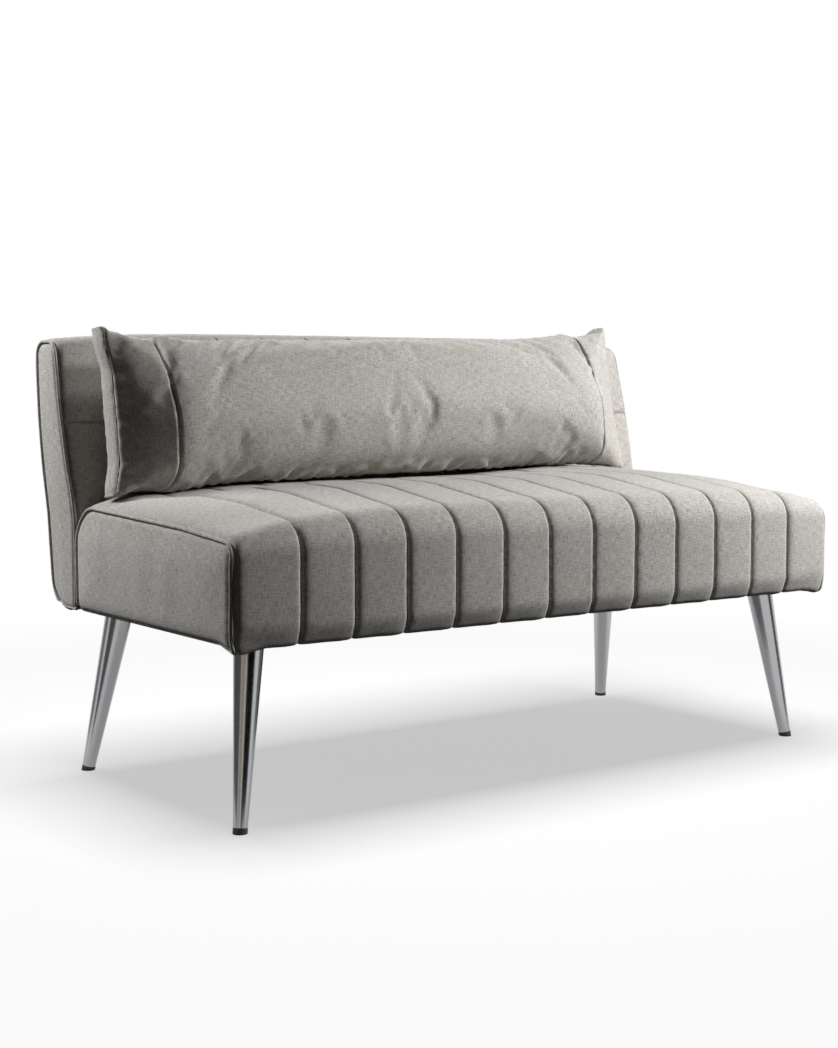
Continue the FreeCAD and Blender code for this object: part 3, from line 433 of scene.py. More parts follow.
def patch(line, corners):
    """Fills a closed line by blending its four sides: gives a place for the shares across and up."""
    low_front, top_front, top_rear, low_rear = (line.nearest(corner) for corner in corners)

    def side(start, end, share):
        return line.at((start + share * (end - start)) % line.total)

    def place(across, up):
        front, rear = side(low_front, top_front, up), side(low_rear, top_rear, up)
        low, top = side(low_front + line.total, low_rear, across), side(top_front, top_rear, across)
        straight_low = line.at(low_front).lerp(line.at(low_rear), across)
        straight_top = line.at(top_front).lerp(line.at(top_rear), across)
        return front.lerp(rear, across) + low.lerp(top, up) - straight_low.lerp(straight_top, up)

    return place


def crowded(count):
    """Shares from 0 to 1, closer together near both ends."""
    return [0.5 - 0.5 * math.cos(math.pi * k / count) for k in range(count + 1)]


def crowded_grid(columns, rows, place, turned):
    """A grid, finer near its rim, whose place(across, up) takes shares. turned turns its faces round."""
    across, up = crowded(columns), crowded(rows)
    bm = woven_grid(columns, rows, lambda i, j: place(across[i], up[j]))
    if turned:
        bmesh.ops.reverse_faces(bm, faces=bm.faces)
    return bm


def rim_finder(points):
    """Gives the distance from a place to the nearest of the points of a rim."""
    tree = kdtree.KDTree(len(points))
    for k, point in enumerate(points):
        tree.insert(point.to_3d(), k)
    tree.balance()
    return lambda place: tree.find(place.to_3d())[2]


def tube_grid(line, radius, place, sides=10):
    """A closed tube, a little uneven, along a closed line in a plane. place gives the point for a length
    along the line, a step to the side of the plane, and a place in it."""
    rings = round(line.total / 3.5)

    def ring_place(i, j):
        length, angle = line.total * (i % rings) / rings, 2 * math.pi * (j % sides) / sides
        wide = radius * (1 + 0.05 * rumple(length, 0, 30.0, 5))
        point = line.at(length) + line.out(length) * wide * math.cos(angle)
        cloth = (line.total * i / rings * MM, j * radius * 0.6 * MM)
        return place(length, wide * math.sin(angle), point), cloth

    return woven_grid(rings, sides, ring_place, closed=True)


# Channels


def seams():
    """x of every upright seam, the two ends of the band included."""
    return [-BAND_END] + [(i - CHANNELS / 2) * CHANNEL_PITCH for i in range(1, CHANNELS)] + [BAND_END]


def channel_columns(near):
    """(x, number, gap to the seam at the left, gap to the one at the right) of a channelled band's columns.
    near says how far from a seam the columns beside it are."""
    edges = seams()
    columns = [(edges[0], 0, 0.0, edges[1] - edges[0])]
    for number, (left, right) in enumerate(zip(edges, edges[1:])):
        wide = right - left
        gaps = list(near) + [wide / 2] + [wide - gap for gap in reversed(near)] + [wide]
        columns += [(left + gap, number, gap, wide - gap) for gap in gaps]
    return columns


def channel_rise(left, right, flanks):
    """Share of a channel's height at its gaps to both seams: a rounded flank at each side of a flat face."""
    shares = [quarter_round(gap / flank) for gap, flank in zip((left, right), flanks)]
    crown = 1 - ((left - right) / (left + right)) ** 2
    return shares[0] * shares[1] * (0.9 + 0.1 * crown)


def sewn_point(sizes, column, section, length, height, place_on_seam):
    """x and place of a point of a channelled band, raised off its outline as far as the padding pushes it.
    Every seam but the two at the ends sways a little from side to side."""
    x, number, left, right = column
    to_seam = min(left, right)
    seam = number if left < right else number + 1
    sway = 0.0
    if seam not in (0, CHANNELS):
        sway = 1.2 * rumple(place_on_seam, 31.0 * seam, 55.0, 3) * math.exp(-to_seam / 12.0)
    rise = height * channel_rise(left, right, (sizes.flank / MM, sizes.lip / MM))
    crease = sizes.crease / MM * math.exp(-to_seam / 1.6)
    pucker = 0.8 * rumple(place_on_seam, 17.0 * seam, 9.0, 2) * hill(to_seam - 6.0, 5.0)
    lumps = 0.9 * rumple(x, length, 75.0, 1) * smooth(to_seam / 20)
    lift = rise - crease + (pucker + lumps) * height / CHANNEL_BULGE
    return x + sway, section.at(length) + section.out(length) * lift


def channel_band(name, columns, path, shares_of, height_at, place_at):
    """A channelled cover along the outlines that path(x) gives. shares_of says where its rows lie along an
    outline, height_at how high its channels stand, and place_at where a point goes in the end."""
    sizes = bpy.context.scene.loveseat_channels
    sections = {column[0]: Line(rounded(path(column[0]))) for column in columns}
    rows = {x: shares_of(section) for x, section in sections.items()}
    middle = columns[len(columns) // 2][0]

    def place(i, j):
        column = columns[i]
        section, length = sections[column[0]], rows[column[0]][j]
        even = rows[middle][j]
        x, point = sewn_point(sizes, column, section, length, height_at(section, length, column), even)
        return place_at(x, point), (column[0] * MM, even * MM)

    bm = woven_grid(len(columns) - 1, len(rows[middle]) - 1, place)
    made = finished(name, bm, cover_linen())
    thicken(made)
    return made


# Materials


def fill_in(tree, node, inputs):
    """Fills a node's inputs with values, with other nodes' outputs, or with nodes, for their first output."""
    for name, value in inputs.items():
        if isinstance(value, bpy.types.Node):
            value = value.outputs[0]
        if isinstance(value, bpy.types.NodeSocket):
            tree.links.new(value, node.inputs[name])
        else:
            node.inputs[name].default_value = value


def add_node(tree, kind, inputs, stops=(), **settings):
    """Adds a node with its settings, its inputs, and for a colour ramp its (place, colour) stops."""
    made = tree.nodes.new(kind)
    for name, value in settings.items():
        setattr(made, name, value)
    fill_in(tree, made, inputs)
    for k, (place, colour) in enumerate(stops):
        elements = made.color_ramp.elements
        element = elements[k] if k < len(elements) else elements.new(place)
        element.position, element.color = place, colour
    return made


def new_material(name, **shader):
    """A material with an empty tree but for its shader, whose sockets are set by name."""
    material = bpy.data.materials.new(name)
    material.use_nodes = True
    tree = material.node_tree
    surface = tree.nodes["Principled BSDF"]
    fill_in(tree, surface, {socket.replace("_", " "): value for socket, value in shader.items()})
    return material, tree, surface


def streaks(tree, scale, detail=2.0, place=None):
    """Noise stretched along one or more axes by a scale in lumps per metre. It lies on Object coordinates, or
    on the place that it is given."""
    place = place or add_node(tree, "ShaderNodeTexCoord", {}).outputs["Object"]
    mapping = add_node(tree, "ShaderNodeMapping", {"Vector": place, "Scale": scale})
    return add_node(tree, "ShaderNodeTexNoise", {"Vector": mapping, "Scale": 1.0, "Detail": detail})


def relief(tree, surface, pattern, strength, depth, stops=()):
    """Raises a surface by a pattern of a depth in millimetres, and colours it by the same pattern's stops."""
    inputs = {"Height": pattern, "Strength": strength, "Distance": depth * MM}
    fill_in(tree, surface, {"Normal": add_node(tree, "ShaderNodeBump", inputs)})
    if stops:
        hexes = [(place, linear(colour)) for place, colour in stops]
        fill_in(tree, surface, {"Base Color": add_node(tree, "ShaderNodeValToRGB", {"Fac": pattern}, hexes)})


def toned(colour, factor):
    """A colour property's value made darker or lighter."""
    return [share * factor for share in colour[:3]] + [1.0]


def linen(name, colour):
    """Linen look polyester, plain woven from uneven yarn: matt, with short light and dark slubs both ways.
    The yarn is 0.6 mm and is drawn 1.6 mm wide, because the real one is too fine to show."""
    material, tree, surface = new_material(name, Roughness=0.9, Sheen_Weight=0.2, Sheen_Roughness=0.5,
                                           Specular_IOR_Level=0.2)
    cloth = add_node(tree, "ShaderNodeUVMap", {}, uv_map="weave")
    yarn, slub = 1 / (1.6 * MM), 1 / (14.0 * MM)
    warp = streaks(tree, (yarn, slub, slub), place=cloth)
    weft = streaks(tree, (slub, yarn, yarn), place=cloth)
    both = add_node(tree, "ShaderNodeMath", {0: warp, 1: weft}, operation="ADD")
    weave = add_node(tree, "ShaderNodeMath", {0: both, 1: 0.5}, operation="MULTIPLY")
    slubs = [(0.38, toned(colour, 0.67)), (0.5, toned(colour, 1.0)), (0.62, toned(colour, 1.3))]
    base = add_node(tree, "ShaderNodeValToRGB", {"Fac": weave}, slubs)
    cloud = streaks(tree, (7.0, 5.0, 7.0), 3.0, cloth)
    fading = [(0.3, linear("#F2F1EF")), (0.7, linear("#FFFFFF"))]
    tone = add_node(tree, "ShaderNodeValToRGB", {"Fac": cloud}, fading)
    dyed = add_node(tree, "ShaderNodeMix", {0: 1.0, 6: base, 7: tone},
                    data_type="RGBA", blend_type="MULTIPLY")
    fill_in(tree, surface, {"Base Color": dyed.outputs[2]})
    relief(tree, surface, weave, 0.35, 0.6)
    return material


def chrome_plate(colour):
    """Chromium plate over drawn steel tube, buffed along its length: bright, with faint lengthwise haze."""
    material, tree, surface = new_material("chrome_plate", Metallic=1.0, Base_Color=toned(colour, 1.0))
    haze = streaks(tree, (240.0, 240.0, 9.0), 3.0)
    rough = add_node(tree, "ShaderNodeMapRange", {"Value": haze, "To Min": 0.18, "To Max": 0.27})
    fill_in(tree, surface, {"Roughness": rough})
    relief(tree, surface, haze, 0.04, 0.1)
    return material


def grey_steel(name, dark, light, rough):
    """Zinc plated or oiled steel: grey, half matt, with small cloudy spangles."""
    material, tree, surface = new_material(name, Metallic=1.0, Roughness=rough)
    greys = [(0.3, linear(dark)), (0.7, linear(light))]
    spangle = add_node(tree, "ShaderNodeValToRGB", {"Fac": streaks(tree, (180.0, 180.0, 180.0))}, greys)
    fill_in(tree, surface, {"Base Color": spangle})
    return material


def moulded_nylon():
    """Black nylon, injection moulded with a fine spark texture: a dull, even surface."""
    material, tree, surface = new_material("moulded_nylon", Roughness=0.55, IOR=1.53,
                                           Base_Color=linear("#0B0B0C"))
    relief(tree, surface, streaks(tree, (1800.0, 1800.0, 1800.0)), 0.25, 0.15)
    return material


def planed_pine(name, grain, dark, light):
    """Planed pine or birch ply, unfinished: pale, matt, with darker late wood lines along the board."""
    material, tree, surface = new_material(name, Roughness=0.72)
    relief(tree, surface, streaks(tree, grain, 4.0), 0.2, 0.4, [(0.35, dark), (0.62, light)])
    return material


def matted(name, dark, light, lump, rough=0.95):
    """Felt, fibre board, webbing or spun bonded cloth: matt, with short tangled fibres."""
    material, tree, surface = new_material(name, Roughness=rough)
    fibres = streaks(tree, (1 / (lump * MM),) * 3, 5.0)
    relief(tree, surface, fibres, 0.4, 0.3, [(0.35, dark), (0.65, light)])
    return material


def shared(name, make, *values):
    """A material by name, made the first time that it is asked for."""
    return bpy.data.materials.get(name) or make(name, *values)


def cover_linen():
    return shared("cover_linen", linen, bpy.context.scene.loveseat_colours.cover)


# The piping's cloth is the cover's, painted a little lighter: a painted highlight for the light that its
# round cord catches
def piping_linen():
    return shared("piping_linen", linen, bpy.context.scene.loveseat_colours.piping)


# Sizes and colours


def millimetres(name, description, default, least=0.0):
    return FloatProperty(name=name, description=description, default=default * MM, min=least * MM,
                         unit="LENGTH")


def watts(name, description, default):
    return FloatProperty(name=name, description=description, default=default, min=0.0, unit="POWER")


def paint(name, description, default):
    return FloatVectorProperty(name=name, description=description, default=linear(default)[:3], size=3,
                               min=0.0, max=1.0, subtype="COLOR")


class LOVESEAT_PG_channels(bpy.types.PropertyGroup):
    """Form of the sewn channels and of the panels at the ends"""
    front_height: millimetres("Height in front", "How far a channel stands proud on the seat's front", 7.0)
    top_height: millimetres("Height on top", "The same on the seat's top, which is pulled flatter", 4.2)
    back_height: millimetres("Height on the back", "The same on the back", 5.5)
    flank: millimetres("Flank", "Width of a channel's rounding at its left seam", 17.0, 1.0)
    lip: millimetres("Lip", "Width of a channel's rounding at its right seam", 8.0, 1.0)
    crease: millimetres("Crease", "How deep the thread pulls a seam in", 4.5)
    piping: millimetres("Piping", "Radius of the piping round the ends", 3.0, 1.0)


class LOVESEAT_PG_bolster(bpy.types.PropertyGroup):
    """Form and filling of the loose bolster"""
    pressure: FloatProperty(name="Pressure", description="How hard the filling pushes the cover out",
                            default=4.0)
    slack: FloatProperty(name="Slack", description="Share by which the cover is cut larger than its filling",
                         default=0.02, min=0.0, max=0.2, subtype="FACTOR")
    swell: millimetres("Swell", "How far the filling may push any point", 12.0)
    gathers: millimetres("Gathers", "Depth of the gathers along the bottom edge", 3.6)
    frames: IntProperty(name="Frames", description="Length of the cloth simulation", default=20,
                        min=2, max=60)


class LOVESEAT_PG_colours(bpy.types.PropertyGroup):
    """Colours of what shows from outside"""
    cover: paint("Cover", "Linen look cloth of seat, back and bolster", "#B0ADA8")
    # The piping's colour is the cover's a shade lighter: a painted highlight for the light on its round cord
    piping: paint("Piping", "The same cloth round the piping cord", "#B3B0AB")
    chrome: paint("Legs", "Plating of the legs", "#AEAFB1")


class LOVESEAT_PG_studio(bpy.types.PropertyGroup):
    """Lamps and floor of the studio"""
    key: watts("Key lamp", "Power of the lamp at the right in front", 56.0)
    top: watts("Top lamp", "Power of the high lamp at the right", 22.0)
    rim: watts("Rim lamp", "Power of the lamp at the left behind", 80.0)
    floor: watts("Floor lamp", "Power of the lamp right above, which lights the floor alone", 148.0)
    ambient: FloatProperty(name="Ambient", description="Light from all round", default=0.015, min=0.0)


# Operators


class LOVESEAT_OT_seat(bpy.types.Operator):
    """Seat cover of thirteen channels over its pad, from the hem under the front to behind the cushion"""
    bl_idname = "loveseat.seat"
    bl_label = "Seat"

    def execute(self, context):
        sizes = context.scene.loveseat_channels
        columns = channel_columns((0.7, 1.8, 3.5, 6.0, 9.5, 14.0, 22.0))
        rows = 150

        def height_at(section, length, column):
            """Full down the front, flatter on top and behind, and low under the hem, beside whose seams the
            padding stands out in a small nub."""
            _, number, _, to_right_seam = column
            low = smooth((length - HEM_WIDTH + 4.0) / 40.0)
            front = 1.0 - smooth((length - 170.0) / 120.0)
            behind = 1.0 - 0.6 * smooth((length - section.total + 180.0) / 80.0)
            full = (sizes.top_height + (sizes.front_height - sizes.top_height) * front) / MM
            nub = 2.6 * (0.4 + abs(rumple(number, 3.0, 0.7, 4))) * hill(length - HEM_WIDTH - 6.0, 16.0)
            return full * (0.22 + 0.78 * low) * behind + nub * hill(to_right_seam - 24.0, 14.0)

        def shares_of(section):
            return [section.total * k / rows for k in range(rows + 1)]

        made = channel_band("seat_channels", columns, seat_path, shares_of, height_at, seat_spot)
        ride(made, "sofa", "cover_fabric", "seat_channel_cover", "seat_channel_pad", "seat_foam")
        return {"FINISHED"}


class LOVESEAT_OT_back(bpy.types.Operator):
    """Back cover of thirteen channels in two rows, from behind the seat over the top to its rear edge"""
    bl_idname = "loveseat.back"
    bl_label = "Back"

    def execute(self, context):
        sizes = context.scene.loveseat_channels
        columns = channel_columns((0.7, 2.0, 4.0, 7.5, 12.0, 20.0))
        below, above, crowding = 38, 62, 1.35

        def seam_length(section):
            return section.nearest(Vector((BACK_FRONT + 26.0, BACK_SEAM_HEIGHT)))

        def shares_of(section):
            """Rows below and above the level seam, closer together near it."""
            seam = seam_length(section)
            low = [seam * (1 - (1 - k / below) ** crowding) for k in range(below)]
            return low + [seam + (section.total - seam) * (k / above) ** crowding for k in range(above + 1)]

        def height_at(section, length, column):
            """Full in both rows, pulled in at the level seam, and flatter over the top and behind."""
            gap = abs(length - seam_length(section))
            row = quarter_round(gap / 13.0)
            seam_pull = 3.5 * math.exp(-gap / 4.0)
            behind = 1.0 - smooth((length - section.total + 50.0) / 45.0)
            over_top = 1.0 - 0.5 * smooth((section.at(length).y - BACK_HEIGHT + 40.0) / 30.0)
            return sizes.back_height / MM * (0.12 + 0.88 * row) * behind * over_top - seam_pull

        made = channel_band("back_channels", columns, back_path, shares_of, height_at, back_spot)
        ride(made, "sofa", "cover_fabric", "back_channel_cover", "back_channel_pad", "back_foam")
        return {"FINISHED"}


def side_panel(name, side, outline, corners, crown, folds, place_at):
    """A flat panel with thin batting, whose edge turns in behind its piping. crown is how far the batting
    pushes its middle out, and folds how deep its soft upright folds are."""
    path = inward(outline, SIDE_MARGIN)
    line = Line(rounded(path, closed=True))
    fill = patch(line, [Vector(path[i][:2]) for i in corners])
    gap_to_rim = rim_finder(line.points)
    base, top = BAND_END - 1.5, PANEL_LOW.x + COVER_THICKNESS

    def place(across, up):
        point = fill(across, up)
        gap = gap_to_rim(point)
        edge = smooth((gap - 1.0) / 9.0)
        ripple = folds * smooth(gap / 40) * rumple(point.x, point.y * 0.25, 42.0, 6 + side)
        lift = base + (top - base) * edge + crown * (1 - math.exp(-gap / 45.0)) + ripple
        return place_at(side * lift, point), (point.x * MM, point.y * MM)

    made = finished(name, crowded_grid(56, 50, place, turned=side > 0), cover_linen())
    thicken(made)
    return made


class LOVESEAT_OT_sides(bpy.types.Operator):
    """Flat panels at both ends of the seat and of the back, with the batting behind them"""
    bl_idname = "loveseat.sides"
    bl_label = "End panels"

    def execute(self, context):
        full = PANEL_HIGH.x - PANEL_LOW.x - 2.0
        for side, word in ((-1, "left"), (1, "right")):
            for part, outline, corners, crown, folds, place_at in (
                    ("seat", seat_side_outline(), (0, 1, 3, 4), full, 1.8, seat_spot),
                    ("back", back_side_outline(), (0, 2, 3, 4), 0.6 * full, 0.6, back_spot)):
                made = side_panel(f"{part}_end_{word}", side, outline, corners, crown, folds, place_at)
                ride(made, "sofa", "cover_fabric", f"{part}_side_cover_{word}", f"{part}_side_pad_{word}")
        return {"FINISHED"}


class LOVESEAT_OT_piping(bpy.types.Operator):
    """Piping round the four end panels"""
    bl_idname = "loveseat.piping"
    bl_label = "Piping"

    def execute(self, context):
        radius = context.scene.loveseat_channels.piping / MM
        for part, outline, place_at in (("seat", seat_side_outline(), seat_spot),
                                        ("back", back_side_outline(), back_spot)):
            line = Line(rounded(inward(outline, WELT_INSET), closed=True))
            for side, word in ((-1, "left"), (1, "right")):

                def place(length, across, point):
                    """The piping waves a little, and under the sofa it is drawn in and up, out of sight."""
                    wave = 0.7 * rumple(length, side, 60.0, 8)
                    hidden = smooth((SEAT_BASE + 14.0 - point.y) / 8.0) * smooth((point.x - 30.0) / 40.0)
                    out = WELT_X + across + wave - 3.0 * hidden
                    return place_at(side * out, point + Vector((0.0, 4.0 * hidden)))

                bm = tube_grid(line, radius, place)
                bmesh.ops.recalc_face_normals(bm, faces=bm.faces)
                made = finished(f"{part}_piping_{word}", bm, piping_linen())
                ride(made, "sofa", "piping_fabric", f"{part}_welt_{word}")
        return {"FINISHED"}


class LOVESEAT_OT_cloths(bpy.types.Operator):
    """Cover of the back's rear, dust cover underneath and the felt over the springs"""
    bl_idname = "loveseat.cloths"
    bl_label = "Rear and hidden cloths"

    def execute(self, context):
        self.rear_cover()
        dust = matted("spun_bonded", "#101011", "#242425", 1.2)
        self.flat_cloth("dust_sheet", "dust_cover", "dust_cover_cloth", dust, -5.0, 0.6, ["seat_front_rail"])
        felt = matted("needled_felt", "#8C887F", "#A8A49A", 2.5)
        self.flat_cloth("spring_felt", "seat_spring_pad", "spring_pad", felt, -1.0, 4.0, ["seat_springs"])
        return {"FINISHED"}

    def rear_cover(self):
        path = [
            (rear_depth(BACK_COVER_END), BACK_COVER_END - 0.3, 0.0),
            (BACK_FOOT_REAR, SEAT_BASE, BACK_FOOT_RADIUS),
            (SEAT_DEPTH + HEM_WIDTH, SEAT_BASE, 0.0),
        ]
        section = Line(rounded(path))
        columns, rows, hem = 90, 60, 60.0

        def place(i, j):
            x, length = BAND_END * (2 * i / columns - 1), section.total * j / rows
            inside = smooth(length / hem) * smooth((section.total - length) / hem)
            inside *= smooth((BAND_END - abs(x)) / hem)
            swell = inside * (1.3 + 0.9 * rumple(x, length * 0.4, 160.0, 11))
            point = section.at(length) + section.out(length) * swell
            return spot(x, point.x, point.y), (x * MM, length * MM)

        made = finished("rear_panel", woven_grid(columns, rows, place), cover_linen())
        thicken(made)
        ride(made, "sofa", "cover_fabric", "back_rear_cover")

    def flat_cloth(self, name, node, slot, material, sag, depth, rests_on):
        """A cloth stretched flat where a CAD sheet is, sagging a little in its middle."""
        low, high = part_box(node)
        columns, rows = 60, 30

        def place(i, j):
            across, along = i / columns, j / rows
            x, y = low.x + across * (high.x - low.x), low.y + along * (high.y - low.y)
            hang = sag * MM * math.sin(math.pi * across) * math.sin(math.pi * along)
            return Vector((x, y, high.z + hang)), (x, y)

        made = finished(name, woven_grid(columns, rows, place), material)
        thicken(made, depth)
        ride(made, "sofa", slot, node)


# Bolster


def bolster_fullness(share):
    """1 where the bolster is full, and less and less past its seams, so that the end pieces slope away."""
    start = BOLSTER_SEAM - 23.0
    past = max(0.0, abs(share) * BOLSTER_HALF - start)
    return 1.0 - min(1.0, past / (BOLSTER_HALF - start)) ** 1.7


def bolster_outline(share):
    """The bolster's outline at a share of its half length: thin and tall at its ends, full in between."""
    above = BOLSTER_WAIST + BOLSTER_GROWTH * abs(share) ** 4.5
    below = BOLSTER_WAIST + BOLSTER_GROWTH * abs(share) ** 8

    def scaled(corners, thick):
        return [(a * thick, b * (above if b > 0 else below), radius) for a, b, radius in corners]

    end = scaled(BOLSTER_END, BOLSTER_END_HALF_THICKNESS)
    return mixed(end, scaled(BOLSTER_FULL, BOLSTER_HALF_THICKNESS), bolster_fullness(share))


def bolster_ring(share, count, shrink=0.0):
    """Places round the bolster from the middle of its bottom up its front, over its top and down its rear."""
    outline = bolster_outline(share)
    if shrink:
        outline = inward(outline, shrink)
    line = Line(rounded(outline, closed=True))
    bottom = line.nearest(Vector(outline[0][:2]))
    top = line.nearest(Vector(outline[4][:2]))
    if top < bottom:
        top += line.total
    front, rear = top - bottom, line.total - (top - bottom)
    ring = []
    for k in range(count):
        share_round = 2 * k / count
        length = bottom + front * min(share_round, 1.0) + rear * max(share_round - 1.0, 0.0)
        point = line.at(length % line.total)
        ring.append(Vector((share * BOLSTER_HALF, point.x, point.y)))
    return ring


def spline(a, b, c, d, share):
    """Catmull-Rom between b and c."""
    return b + share * 0.5 * (c - a + share * (2 * a - 5 * b + 4 * c - d + share * (3 * (b - c) + d - a)))


def ring_between(rings, k, share):
    """The ring at a share of the way from ring k to the next."""
    near = [rings[min(max(k + step, 0), len(rings) - 1)] for step in (-1, 0, 1, 2)]
    return [spline(*points, share) for points in zip(*near)]


def point_on(ring, turn):
    """The place on a ring at a share from 0 to 1 of the way round."""
    place = (turn % 1.0) * len(ring)
    k = int(place)
    near = [ring[(k + step) % len(ring)] for step in (-1, 0, 1, 2)]
    return spline(*near, place - k)


def filled_lattice(rings, sizes):
    """The bolster's cover, blown up by its filling: cut slack, and held along the seams round its edges.
    Near its ends, where it is pulled taut, it goes only part of the way that the filling pushes it."""
    columns, count = len(rings) - 1, len(rings[0])

    def place(i, j):
        return rings[i][j % count] * MM, (0.0, 0.0)

    bm = woven_grid(columns, count, place, closed=True)
    made = finished("bolster_cut", bm, cover_linen())
    tree = kdtree.KDTree(len(made.data.vertices))
    for vert in made.data.vertices:
        tree.insert(vert.co, vert.index)
    tree.balance()
    where = [[tree.find(point * MM)[1] for point in ring] for ring in rings]
    held = made.vertex_groups.new(name="held")
    held.add(where[0] + where[-1] + [ring[j] for ring in where for j in (0, count // 2)], 1.0, "REPLACE")
    modifier = made.modifiers.new("filling", "CLOTH")
    settings = modifier.settings
    settings.quality = 5
    settings.mass = 0.3
    settings.use_pressure = True
    settings.uniform_pressure_force = sizes.pressure
    settings.effector_weights.gravity = 0.0
    settings.vertex_group_mass = "held"
    settings.shrink_min = -sizes.slack
    modifier.collision_settings.use_collision = False
    modifier.point_cache.frame_end = sizes.frames
    scene = bpy.context.scene
    for step in range(1, sizes.frames + 1):
        scene.frame_set(step)
    shown = made.evaluated_get(bpy.context.evaluated_depsgraph_get())
    moved = [vert.co / MM for vert in shown.to_mesh().vertices]
    shown.to_mesh_clear()
    scene.frame_set(1)
    bpy.data.objects.remove(made)

    def pushed(point, index):
        way = moved[index] - point
        part = 1.0 - 0.65 * smooth((abs(point.x) - BOLSTER_SEAM + 30.0) / 60.0)
        return point + way * part * min(1.0, sizes.swell / MM / max(way.length, 1e-6))

    return [[pushed(*pair) for pair in zip(ring, indices)] for ring, indices in zip(rings, where)]


# Folds of the bolster: (x, turn from the bottom, slope in degrees, length, width, height)
BOLSTER_FOLDS = (
    (-576, 0.455, 125, 24, 8, -3.0),
    (-560, 0.466, 140, 22, 6, 2.0),
    (-583, 0.385, 10, 10, 4, 1.8),
    (-584, 0.318, 12, 10, 4, 1.3),
    (-584, 0.262, 4, 11, 4, 1.5),
    (-583, 0.205, 20, 10, 4, 1.2),
    (-576, 0.112, 32, 17, 5, 4.0),
    (-574, 0.092, 32, 15, 5, -2.6),
    (-577, 0.052, 36, 14, 5, 3.6),
    (-570, 0.070, 30, 13, 5, -2.0),
    (-528, 0.468, 150, 22, 5, 2.6),
    (-516, 0.478, 146, 18, 5, -2.2),
    (-484, 0.478, 25, 22, 6, 2.8),
    (-462, 0.468, 160, 26, 7, -2.2),
    (-258, 0.474, 150, 26, 6, 2.6),
    (-214, 0.452, 123, 28, 5, 3.8),
    (-203, 0.446, 123, 26, 6, -2.6),
    (120, 0.472, 165, 50, 9, 1.6),
    (300, 0.470, 158, 40, 8, 2.2),
    (352, 0.452, 122, 30, 7, 2.4),
    (366, 0.444, 122, 26, 7, -2.6),
    (404, 0.380, 112, 44, 12, 1.6),
    (478, 0.472, 130, 26, 6, 3.0),
    (520, 0.470, 140, 30, 5, 3.6),
    (532, 0.452, 134, 30, 6, -3.2),
    (545, 0.478, 140, 26, 5, 3.4),
    (572, 0.488, 120, 18, 6, -4.5),
    (575, 0.300, 170, 14, 6, 2.4),
    (560, 0.050, 150, 24, 7, 3.2),
)


def waves(length, wave, shift):
    """A sine over a length, in waves of about the given one, shifted by a number of waves."""
    return math.sin(2 * math.pi * (length / wave + shift))


def bolster_relief(x, turn, round_length, gathers):
    """How far the cover lies over or under its smooth form: seams, gathers along the bottom, tucks at the
    ends and the seams, lumps of the filling, and folds."""
    from_bottom = min(turn, 1 - turn) * round_length
    to_end, to_seam = BOLSTER_HALF - abs(x), abs(abs(x) - BOLSTER_SEAM)
    groove = BOLSTER_LEFT_GROOVE if x < 0 else BOLSTER_RIGHT_GROOVE
    lift = 0.5 * hill(to_seam - 6.0, 3.0) - groove * hill(to_seam, 1.9)
    lift += 1.8 * hill(to_end - 6.0, 4.0) - 3.0 * math.exp(-to_end / 1.5)
    lift -= 2.2 * hill(0.5 * round_length - from_bottom, 2.5)
    lift -= 2.0 * hill(from_bottom, 3.0)
    gathered = waves(x, 27.0, 0.9 * rumple(x, turn * 3, 90.0, 21)) * (0.75 + 0.6 * rumple(x, 0.0, 45.0, 27))
    lift += gathers * gathered * math.exp(-from_bottom / 20.0) * smooth(from_bottom / 6) * smooth(to_seam / 8)
    end_tucks = waves(from_bottom, 41.0, 0.8 * rumple(from_bottom, math.copysign(9, x), 60.0, 22))
    lift += 0.9 * end_tucks * math.exp(-to_end / 14.0) * smooth(to_end / 5)
    seam_tucks = waves(from_bottom, 29.0, rumple(from_bottom, x, 50.0, 23))
    lift += 0.35 * seam_tucks * hill(to_seam - 9.0, 7.0)
    lift += 1.4 * rumple(x, from_bottom, 95.0, 24 + (turn > 0.5)) * smooth(to_end / 40)
    for fold_x, fold_turn, slope, length, width, height in BOLSTER_FOLDS:
        across, up = x - fold_x, (turn - fold_turn) * round_length
        angle = math.radians(slope)
        along = across * math.cos(angle) + up * math.sin(angle)
        beside = up * math.cos(angle) - across * math.sin(angle)
        if abs(along) < 3 * length and abs(beside) < 3 * width:
            lift += height * hill(along, length) * hill(beside, width)
    return lift


def graded(marks, step):
    """Places from the first mark to the last, a step apart, and closer together near each mark."""
    near = (0.0, 1.0, 2.4, 4.5, 7.5)
    places = []
    for left, right in zip(marks, marks[1:]):
        room = right - left - 2 * near[-1]
        count = max(2, round(room / step))
        inner = [left + near[-1] + room * k / count for k in range(1, count)]
        places += [left + gap for gap in near] + inner + [right - gap for gap in reversed(near[1:])]
    return places + [marks[-1]]


